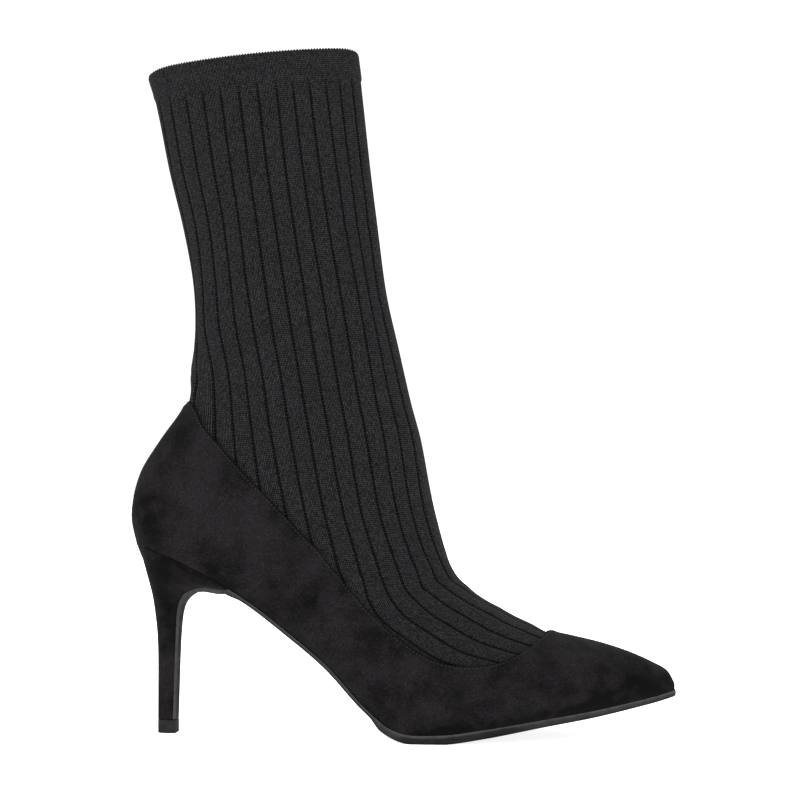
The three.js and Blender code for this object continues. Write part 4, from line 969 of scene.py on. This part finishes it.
class BOOT_OT_shaft(Operator):
    """Knit shaft with rounded ribs, a plain cuff band and soft ankle creases"""

    bl_idname = "boot.shaft"
    bl_label = "Knit shaft"

    def execute(self, context):
        form, origin = form_and_origin(context)
        skin, loops = Skin(), Skin()
        places, groove_away = knit_columns(form)
        for side in SIDES:
            flip = side == INNER
            ring, edge = self.rows(form, side)
            total = form.ends(ring, side)[:, None]
            run = np.minimum(form.rib_run(places, ring, side), edge[:, None])
            run[:, -1] = edge
            down = distances(form.point(ring, run, side))
            fabric = np.stack([np.broadcast_to(places * form.rib_pitch / 2, run.shape), down], -1)
            ease = form.tuck_ease * smooth(form.under_suede(ring, run, side), -form.tuck_fade, 0)
            ease = ease * (1 - bell(total - run, BACK_REACH) * (ring < SEAT_RING)[:, None])
            crease = crease_depth(form, KNIT_CREASES, side, ring, run)
            proud = self.relief(form, down, run, edge, groove_away) - ease - crease
            outside = form.skin(ring, run, side, proud)
            corner = self.corner_drop(form, down, run, total)
            outside[..., 2] -= corner
            skin.grid(outside, flip, fabric)
            rows = np.unique(np.concatenate([[0, 1], np.arange(2, len(ring), 5), [len(ring) - 1]]))
            inside = form.skin(ring[rows], run[rows], side, (-form.knit_wall - ease - crease)[rows])
            inside[..., 2] -= corner[rows]
            skin.grid(inside, not flip, fabric[rows])
            rim = np.stack([outside[0], (outside[0] + inside[0]) / 2 + [0, 0, RIM_RISE], inside[0]])
            skin.grid(rim, not flip, np.stack([fabric[0]] * 3))
            start = int((edge[rows] >= total[rows, 0] - TINY).sum()) - 1
            hem = np.stack([outside[rows, -1], inside[:, -1]])
            skin.grid(hem[:, max(start, 0):], not flip)
            self.rim_loops(form, loops, outside[0])
        finish = knit_finish(context.scene.boot_sizes, context.scene.boot_colours)
        settle(skin.build("shaft_knit", origin, sharp=60), finish, "knit", "shaft")
        settle(loops.build("cuff_loops", origin), finish, "knit")
        return {"FINISHED"}

    @staticmethod
    def relief(form, down, run, edge, groove_away):
        """Cuff band, its rolled rim, and the ribs below it"""
        ribbed = smooth(down, form.cuff_band, form.cuff_band + CUFF_FADE) * (run < edge[:, None] - TINY)
        profile = form.rib_depth * bell(groove_away, form.rib_groove)
        profile = profile + CROWN_DEPTH * (1 - smooth(groove_away, 0, CROWN_REACH))
        cuff = form.cuff_step * (1 - smooth(down, form.cuff_band - 0.3, form.cuff_band + 0.5))
        lip = RIM_THIN * (1 - np.sqrt(np.clip(1 - (1 - np.clip(down / RIM_ROLL, 0, 1)) ** 2, 0, 1)))
        return cuff - lip - ribbed * profile

    @staticmethod
    def corner_drop(form, down, run, total):
        """The cuff's front and back corners are worn soft and hang a little lower"""
        corners = FRONT_DROP * bell(run, FRONT_REACH) + BACK_DROP * bell(total - run, SEAM_SIDE)
        return form.cuff_corner * corners * (1 - smooth(down, 0.5, DROP_FADE))

    @staticmethod
    def rim_loops(form, skin, rim):
        """A fine row of loops stands on the cuff's rim"""
        far = distances(rim)
        centres, forward = heading(np.arange(form.wale / 2, far[-1], form.wale), far, rim)
        up = np.broadcast_to([0.0, 0.0, 1.0], forward.shape)
        polar, turn = np.meshgrid(np.linspace(0, np.pi, 5), np.linspace(0, FULL_TURN, 9), indexing="ij")
        bead = np.stack([np.sin(polar) * np.cos(turn), np.sin(polar) * np.sin(turn), np.cos(polar)], -1)
        bead = bead * [LOOP_SHARE * form.wale, LOOP_WIDE, LOOP_TALL]
        fabric = np.broadcast_to(LOOP_FABRIC, bead.shape[:2] + (2,))
        beside = unit(np.cross(up, forward))
        skin.string(bead, centres + [0, 0, LOOP_LIFT], forward, beside, up, fabric=fabric)

    @staticmethod
    def rows(form, side):
        """Rings of the knit, each with the run at which it ends"""
        tucked = form.below_edge(np.array([0.0]), OUTER, form.tuck)[0][0]
        leg = np.concatenate([[0.0, 0.004, 0.010, 0.022, 0.045], np.linspace(0.08, tucked, 165)])
        edge_places = np.linspace(0, TOPLINE_END, 400)
        edge_rings = form.below_edge(edge_places, OUTER, form.tuck)[0]
        rings = np.linspace(tucked, edge_rings[-1], 92)[1:]
        places = np.interp(rings, np.maximum.accumulate(edge_rings), edge_places)
        low = form.below_edge(places, side, form.tuck)[1]
        low[-1] = 0.0
        return np.concatenate([leg, rings]), np.concatenate([form.ends(leg, side), low])


class BOOT_OT_upper(Operator):
    """Suede lower with a folded topline, its row of stitches and brushed nap"""

    bl_idname = "boot.upper"
    bl_label = "Suede lower"

    def execute(self, context):
        form, origin = form_and_origin(context)
        colours = context.scene.boot_colours
        skin = Skin()
        for side in SIDES:
            flip = side == INNER
            ring, start, edged = self.rows(form, side)
            end = form.ends(ring, side)
            run = start[:, None] + (end - start)[:, None] * self.columns()
            from_edge = self.edge_distance(form, side, ring, run)
            to_sole = np.where((ring >= SEAT_RING)[:, None], end[:, None] - run, FAR)
            proud = form.shell - self.roll(from_edge, form.suede_edge)
            proud = proud - self.roll(to_sole, FEATHER_ROLL) * FEATHER_SHARE
            proud = proud - crease_depth(form, SUEDE_CREASES, side, ring, run)
            proud = proud - self.seam_groove(from_edge, form.stitch_margin)
            proud = proud + self.fold(form, ring, run) - self.back_taper(ring, run, end, from_edge)
            outside = form.skin(ring, run, side, np.maximum(proud, form.fit_gap + SUEDE_LEAST))
            outside[..., 2] -= self.tip_drop(form, outside)
            at_back = self.near_back(ring, run, end)
            # Listed light and dark patches, less painted shade along the folded topline that fades out
            # towards the back seam
            mark = self.light_and_dark_marks(outside) - EDGE_SHADE * bell(from_edge, EDGE_REACH) * (1 - at_back)
            # Painted shade along the sole is taken off the mark too
            skin.grid(outside, flip, mark=mark - self.painted_sole_shade(ring, to_sole))
            inside = form.skin(ring, run, side, form.fit_gap)
            inside[..., 2] -= self.tip_drop(form, inside)
            skin.grid(inside[:, ::2], not flip, mark=SHADED)
            # Painted shade on the turned top of the edge, fading out towards the back seam
            turned = np.stack([outside[:edged, 0], inside[:edged, 0]])
            skin.grid(turned, flip, mark=at_back[:edged, 0] - 1.0)
            seat = int(np.searchsorted(ring, SEAT_RING - TINY))
            skin.grid(np.stack([outside[seat:, -1], inside[seat:, -1]]), not flip, mark=SHADED)
        settle(skin.build("upper_suede", origin, sharp=55), suede_finish(colours), "suede", "upper")
        settle(self.stitches(form, origin), thread_finish(colours), "suede")
        return {"FINISHED"}

    @staticmethod
    def rows(form, side):
        """Rings of the suede, each with the run at which it starts, and how many have an edge"""
        throat = form.edge_rings[-1]
        rings = np.concatenate([
            np.linspace(6.85, 7.0, 14), np.linspace(7.0, 8.0, 26)[1:], np.linspace(8.0, 11.0, 40)[1:],
            SEAT_RING + (np.linspace(0, 1, 14)[1:]) ** 2,
            np.linspace(12.0, THROAT_START, 90)[1:],
            throat - (throat - THROAT_START) * (1 - np.linspace(0, 1, 22)[1:]) ** 1.6,
        ])
        start = form.topline(form.topline_place(rings), side)[1]
        start[-1] = 0.0
        start[0] = form.ends(rings[:1], side)[0]
        toe = throat + (TOE_RING - throat) * (1 - (1 - np.linspace(0, 1, 70)[1:]) ** 1.7)
        return np.concatenate([rings, toe]), np.concatenate([start, np.zeros(len(toe))]), len(rings)

    @staticmethod
    def columns():
        """Shares from topline to sole, close together near both"""
        near = np.array([0, 0.002, 0.005, 0.009, 0.014, 0.02, 0.028, 0.038, 0.05])
        return np.concatenate([near, np.linspace(0.05, 0.95, 44)[1:-1], 1 - near[::-1]])

    @staticmethod
    def edge_distance(form, side, ring, run):
        """How far each point lies from the topline"""
        rings, starts = form.topline(np.linspace(0, TOPLINE_END, 420), side)
        line = form.point(rings, starts[:, None], side)[:, 0]
        near = ring < form.edge_rings[-1] + 1
        away = np.full(run.shape, FAR)
        away[near] = nearest_on_line(form.point(ring[near], run[near], side), line)[0]
        return away

    @staticmethod
    def roll(away, radius):
        """Drop of a rounded edge at a distance from it"""
        inside = np.clip(1 - away / radius, 0, 1)
        return radius * (1 - np.sqrt(1 - inside ** 2))

    @staticmethod
    def near_back(ring, run, end):
        """1 at the back seam over the seat, fading round the heel"""
        return bell(np.where((ring < SEAT_RING)[:, None], end[:, None] - run, FAR), BACK_REACH)

    @staticmethod
    def tip_drop(form, points):
        """The topline's peak at the back seam is rounded off"""
        return TIP_DROP * bell(np.linalg.norm(points - form.peak, axis=-1), TIP_REACH)

    def back_taper(self, ring, run, end, away):
        """At the back the topline is skived thin and lies against the knit"""
        return BACK_SKIVE * (1 - smooth(away, 0.0, SKIVE_REACH)) * self.near_back(ring, run, end)

    @staticmethod
    def seam_groove(away, margin):
        """The seam pulls the suede down in a shallow line"""
        return SEAM_DEPTH * bell(away - margin, SEAM_REACH)

    @staticmethod
    def fold(form, ring, run):
        """The folded ends of the topline make a small lump on the vamp's ridge"""
        ridge = form.point(np.array([form.edge_rings[-1]]), np.array([[0.0]]), OUTER)[0, 0]
        here = form.point(ring, run, OUTER)
        away = np.hypot(here[..., 0] - ridge[0] - FOLD_AHEAD, run)
        return FOLD_RISE * bell(away, FOLD_REACH)

    @staticmethod
    def painted_sole_shade(ring, to_sole):
        """Painted shade low on the vamp, darkest along the sole"""
        reach = 7.0 + 4.5 * smooth(ring, 20.0, 24.0)
        return PAINTED_SOLE_SHADE * bell(to_sole, reach[:, None]) * smooth(ring, 17.0, 20.0)[:, None]

    @staticmethod
    def light_and_dark_marks(points):
        """Listed patches where the suede is made lighter or darker"""
        mark = np.zeros(points.shape[:2])
        across, up = points[..., 0], points[..., 2]
        drift = 2.6 * np.sin(up / 6.0) + 1.3 * np.sin((across + up) / 2.9)
        rise = 2.2 * np.sin(across / 7.0) + 1.1 * np.sin((across - up) / 3.3)
        for x, z, reach, lift in PATCHES:
            mark += lift * bell(np.hypot(across + drift - x, up + rise - z), reach)
        return mark

    def stitches(self, form, origin):
        """One row of short stitches along the topline, on both sides"""
        skin = Skin()
        turn, angle = np.linspace(0, FULL_TURN, 9), np.linspace(0, np.pi, 7)[:, None]
        bead = np.stack(np.broadcast_arrays(
            -np.cos(angle) * form.stitch_length / 2,
            np.sin(angle) ** 0.6 * np.cos(turn) * form.stitch_width / 2,
            np.sin(angle) ** 0.6 * np.sin(turn) * form.stitch_width / 2), -1)
        for side in SIDES:
            places = np.linspace(0.35, TOPLINE_END - 0.12, 900)
            ring, run = form.below_edge(places, side, form.stitch_margin)
            taper = self.back_taper(ring, run[:, None], form.ends(ring, side), form.stitch_margin)
            line = form.skin(ring, run[:, None], side, form.shell - STITCH_SUNK - taper)[:, 0]
            line[:, 2] -= self.tip_drop(form, line)
            far = distances(line)
            spots = np.arange(form.stitch_pitch, far[-1] - form.stitch_pitch, form.stitch_pitch)
            at, forward = heading(spots, far, line)
            away = unit(sample(spots, far, form.outward(ring, run[:, None], side)[:, 0]))
            beside = unit(np.cross(away, forward))
            skin.string(bead, at, forward, beside, np.cross(forward, beside))
        return skin.build("topline_stitches", origin)


class BOOT_OT_insole(Operator):
    """Insole board under its cover, seen through the collar"""

    bl_idname = "boot.insole"
    bl_label = "Insole"

    def execute(self, context):
        form, origin = form_and_origin(context)
        ring = np.concatenate([SEAT_RING + np.linspace(0, 1, 18) ** 2, np.linspace(12, TOE_RING, 150)[1:]])
        inset, bevel, gauge = form.insole_inset, form.insole_bevel, form.insole_gauge
        edges = [(-inset, 0.0), (-inset - bevel * 0.5, -gauge * 0.6),
                 (-inset - bevel, -gauge * 0.9), (-inset - bevel - 0.4, -gauge)]
        left, right = (np.stack([form.feather(ring, side, *edge) for edge in edges], 1) for side in SIDES)
        top = between(left[:, -1], right[:, -1], 7)
        skin = Skin()
        skin.grid(np.concatenate([left, top, right[:, ::-1], left[:, :1]], 1))
        piece = skin.build("insole_cover", origin, sharp=50)
        settle(piece, sock_finish(context.scene.boot_colours), "board", "insole")
        return {"FINISHED"}


def between(start, end, steps):
    """Corners that part the way between two lines evenly, without the lines themselves"""
    return np.stack([start + (end - start) * share for share in np.linspace(0, 1, steps + 2)[1:-1]], 1)


def rounded_edge(top, low, upper, lower, radius):
    """Outline of an edge from its upper to its lower corner: rows of how far out and how far down"""
    turn = np.linspace(0, np.pi / 2, EDGE_CORNERS)
    out = [top - radius * (1 - math.sin(angle)) for angle in turn]
    drop = [upper + radius * (1 - math.cos(angle)) for angle in turn]
    out.append((top + low) / 2 + EDGE_SWELL)
    drop.append((upper + lower) / 2)
    out.extend(low - radius * (1 - math.cos(angle)) for angle in turn)
    drop.extend(lower - radius * (1 - math.sin(angle)) for angle in turn)
    return out, drop


class BOOT_OT_outsole(Operator):
    """Thin rubber sole from the toe to the arch, and on down the heel's breast"""

    bl_idname = "boot.outsole"
    bl_label = "Outsole"

    def execute(self, context):
        form, origin = form_and_origin(context)
        tip = TOE_RING - (TOE_RING - TIP_RING) * np.linspace(0, 1, 26) ** 2
        ring = np.concatenate([tip, np.linspace(TIP_RING, LIP_RING, 170)[1:]])
        tread = self.closed(*(self.half(form, ring, side) for side in SIDES))
        flap = self.flap(form)
        body = np.concatenate([tread, flap])
        plain, lapped, breast = (self.marks(row) for row in SOLE_MARKS)
        share = smooth(form.lip_rise(ring), 0.3, 1.2)[:, None]
        skin = Skin()
        skin.grid(body, True, mark=np.concatenate([
            plain + (lapped - plain) * share, np.tile(breast, (len(flap), 1))]))
        skin.grid(np.stack([body[-1], np.broadcast_to(body[-1, :-1].mean(0), body[-1].shape)]), True)
        piece = skin.build("outsole_rubber", origin, sharp=40)
        settle(piece, sole_finish(context.scene.boot_colours), "sole", "outsole")
        return {"FINISHED"}

    @staticmethod
    def marks(edge):
        """Painted light and shade along one row of corners, the same on both edges"""
        return np.array([*edge, *[0.0] * TREAD_STEPS, *edge[::-1], *[0.0] * TOP_STEPS, edge[0]])

    @staticmethod
    def closed(left, right):
        """Closed rows of corners: down the left edge, under, up the right edge and over the top"""
        under = between(left[:, -1], right[:, -1], TREAD_STEPS)
        over = between(right[:, 0], left[:, 0], TOP_STEPS)
        return np.concatenate([left, under, right[:, ::-1], over, left[:, :1]], 1)

    def half(self, form, ring, side):
        """Corners of one side, from the lip down the edge, none of them below the floor"""
        depth, proud = form.sole_depth(ring), form.shell + form.welt_proud
        lower = depth + form.sole_gauge(ring)
        out, drop = rounded_edge(proud, proud - form.sole_bevel, form.fit_gap, lower, SOLE_ROUND)
        corners, lapped = self.lip(form, ring, side, depth)
        for row, (wide, deep) in enumerate(zip(out, drop)):
            full = (np.maximum(wide, proud) - wide) * lapped * (row < EDGE_CORNERS)
            corners.append(form.feather(ring, side, wide + full, deep))
        half = np.stack(corners, 1)
        half[..., 2] = np.maximum(half[..., 2], 0)
        return half

    @staticmethod
    def lip(form, ring, side, depth):
        """Corners of the thin lip that laps up the suede, and how much of a lip each ring has"""
        rise, end = form.lip_rise(ring), form.ends(ring, side)
        lapped = smooth(rise, 0.0, 0.3)
        near = form.shell + LIP_GAP
        far = form.shell + form.welt_proud - SOLE_ROUND * (1 - lapped)
        fall = form.down(ring) * (depth * (1 - lapped))[:, None]
        corners = [form.feather(ring, side, near, depth)]
        for wide, share in ((near, 1.0), ((near + far) / 2, 1.0), (far, 0.85)):
            proud = np.broadcast_to(wide, ring.shape)[:, None]
            corners.append(form.skin(ring, (end - rise * share)[:, None], side, proud)[:, 0] + fall)
        return corners, lapped

    def flap(self, form):
        """Rows of the flap down the heel's breast, with as many corners as the sole's rows"""
        rows = []
        for level in np.linspace(HEEL_TOP, 0, 90):
            _, here, _, face = form.heel_section(level)
            above = form.heel_section(min(level + LEVEL_NUDGE, HEEL_TOP))[1]
            down = unit(form.heel_section(max(level - LEVEL_NUDGE, 0))[1] - above)
            depth, bevel = form.fit_gap + float(form.flap_depth(level)), form.sole_bevel / 2
            out, drop = rounded_edge(face + bevel, face - bevel, -FLAP_ROUND, depth, FLAP_ROUND)
            out, drop = (np.array([values[0]] * LIP_CORNERS + values) for values in (out, drop))
            spots = here + np.array([-down[1], down[0]]) * drop[:, None]
            rows.append(np.stack([spots[:, 0], out, spots[:, 1]], -1))
        right = np.stack(rows)
        return self.closed(right * [1, -1, 1], right)


class BOOT_OT_heel(Operator):
    """Slim heel wrapped in suede, and the hard rubber lift under it"""

    bl_idname = "boot.heel"
    bl_label = "Heel and top piece"

    def execute(self, context):
        form, origin = form_and_origin(context)
        colours = context.scene.boot_colours
        levels = np.linspace(0, HEEL_TOP, 100)
        loops = [self.loop(*form.heel_section(level), WRAP_STEPS) for level in levels]
        ring = SEAT_RING + (LIP_RING - SEAT_RING) * np.linspace(0, 1, WRAP_STEPS + 1) ** 1.5
        proud = form.shell + form.welt_proud / 2
        for share in (1, 0.5, 0):
            depth = form.fit_gap + form.lip_gauge * share
            left, right = (form.feather(ring, side, proud, depth) for side in SIDES)
            loops.append(np.concatenate([left, right[::-1]]))
        skin = Skin()
        skin.wrap(loops, self.light_and_dark_marks)
        settle(skin.build("heel_cover", origin, sharp=50), suede_finish(colours), "heel", "heel")
        settle(self.top_piece(form, origin), lift_finish(colours), "top_piece", "top_piece")
        return {"FINISHED"}

    @staticmethod
    def light_and_dark_marks(points):
        """Painted shade on the wrap, darkest round the breast and the seat, and a little painted light down
        the stem; the whole wrap is a little darker too
        """
        breast = np.hypot(points[..., 0] - 26, points[..., 2] - 66)
        stem = np.hypot((points[..., 0] - 18) / 0.6, points[..., 2] - 32)
        return -0.12 - 1.0 * bell(breast, 15) + 0.2 * bell(stem, 24)

    @staticmethod
    def loop(back, front, wide, face, steps):
        """Corners round one section of the heel: down one side from back to front, and back up the other"""
        along, width = half_oval(np.linspace(0, 1, steps + 1), wide, face, HEEL_BLUNT, HEEL_BLUNT)
        spots = back + (front - back) * along[:, None]
        left, right = (np.stack([spots[:, 0], side * width, spots[:, 1]], -1) for side in SIDES)
        return np.concatenate([left, right[::-1]])

    def top_piece(self, form, origin):
        _, _, wide, face = form.heel_section(0)
        long = form.stem_length + form.fit_gap + form.flap_gauge
        bevel, height = form.top_piece_bevel, form.top_piece_height
        rows = (
            (bevel, 0.0), (bevel * 0.3, bevel * 0.3), (0, bevel), (0, height - LIFT_ROUND),
            (LIFT_ROUND, height))
        skin = Skin()
        skin.wrap([
            self.loop(
                np.array([form.stem_x + inset, level]), np.array([form.stem_x + long - inset, level]),
                wide - inset, face - inset, LIFT_STEPS)
            for inset, level in rows])
        return skin.build("top_piece_rubber", origin, sharp=40)


class BOOT_OT_stage(Operator):
    """Pale floor, soft light and the camera at the photograph's angle"""

    bl_idname = "boot.stage"
    bl_label = "Stage"

    def execute(self, context):
        scene = context.scene
        self.camera(scene, Vector(form_and_origin(context)[1]) * MM)
        self.lights(scene)
        self.floor(scene, scene.boot_colours.floor)
        return {"FINISHED"}

    @staticmethod
    def camera(scene, origin):
        data = bpy.data.cameras.new("boot_camera")
        focal_pixels = CAMERA_DISTANCE / CAMERA_SCALE
        data.sensor_width = SENSOR
        data.lens = SENSOR * focal_pixels / FRAME_PIXELS
        data.clip_end = CAMERA_REACH
        camera = bpy.data.objects.new("boot_camera", data)
        yaw, pitch = math.radians(CAMERA_YAW), math.radians(CAMERA_PITCH)
        camera.location = origin + Vector((
            CAMERA_TARGET + CAMERA_DISTANCE * math.sin(yaw),
            -CAMERA_DISTANCE * math.cos(yaw),
            CAMERA_HEIGHT,
        ))
        camera.rotation_euler = (math.pi / 2 + pitch, 0, yaw)
        scene.collection.objects.link(camera)
        scene.camera = camera

    @staticmethod
    def lights(scene):
        world = bpy.data.worlds.new("studio")
        world.use_nodes = True
        background = world.node_tree.nodes["Background"]
        background.inputs["Color"].default_value = WHITE
        background.inputs["Strength"].default_value = WORLD_LIGHT
        scene.world = world
        scene.view_settings.view_transform = "Standard"
        for name, place, size, power in LAMPS:
            data = bpy.data.lights.new(name, "AREA")
            data.shape = "DISK"
            data.size = size
            data.energy = power
            lamp = bpy.data.objects.new(name, data)
            lamp.location = place
            lamp.rotation_euler = (Vector(LAMP_TARGET) - Vector(place)).to_track_quat("-Z", "Y").to_euler()
            scene.collection.objects.link(lamp)

    @staticmethod
    def floor(scene, tone):
        finish = Finish("pale_floor", 0.8, 0.1)
        light = tuple(min(value * SPECKLE, 1) for value in tone)
        finish.paint(finish.mix(finish.noise(30, 2, 0.5), tone, light))
        finish.set("Emission Color", WHITE)
        finish.set("Emission Strength", FLOOR_GLOW)
        mesh = bpy.data.meshes.new("floor")
        corners = [(x * FLOOR_REACH, y * FLOOR_REACH, 0) for x, y in ((-1, -1), (1, -1), (1, 1), (-1, 1))]
        mesh.from_pydata(corners, [], [(0, 1, 2, 3)])
        mesh.materials.append(finish.material)
        floor = bpy.data.objects.new("floor", mesh)
        scene.collection.objects.link(floor)


OPERATORS = (BOOT_OT_stage, BOOT_OT_shaft, BOOT_OT_upper, BOOT_OT_insole, BOOT_OT_outsole, BOOT_OT_heel)


class BOOT_PT_sidebar(Panel):
    """Sizes, colours and pieces of the boot"""

    bl_idname = "BOOT_PT_sidebar"
    bl_label = "High-heeled boot"
    bl_space_type = "VIEW_3D"
    bl_region_type = "UI"
    bl_category = "Boot"

    def draw(self, context):
        column = self.layout.column()
        for operator in OPERATORS:
            column.operator(operator.bl_idname)
        for group, names in (
            (context.scene.boot_sizes, BootSizes.__annotations__),
            (context.scene.boot_colours, BootColours.__annotations__),
        ):
            column.separator()
            for name in names:
                column.prop(group, name)


CLASSES = (BootSizes, BootColours, *OPERATORS, BOOT_PT_sidebar)


def register():
    for cls in CLASSES:
        bpy.utils.register_class(cls)
    bpy.types.Scene.boot_sizes = PointerProperty(type=BootSizes)
    bpy.types.Scene.boot_colours = PointerProperty(type=BootColours)


def unregister():
    del bpy.types.Scene.boot_colours
    del bpy.types.Scene.boot_sizes
    for cls in reversed(CLASSES):
        bpy.utils.unregister_class(cls)


def main():
    register()
    bpy.ops.boot.stage()
    bpy.ops.boot.shaft()
    bpy.ops.boot.upper()
    bpy.ops.boot.insole()
    bpy.ops.boot.outsole()
    bpy.ops.boot.heel()


if __name__ == "__main__":
    main()
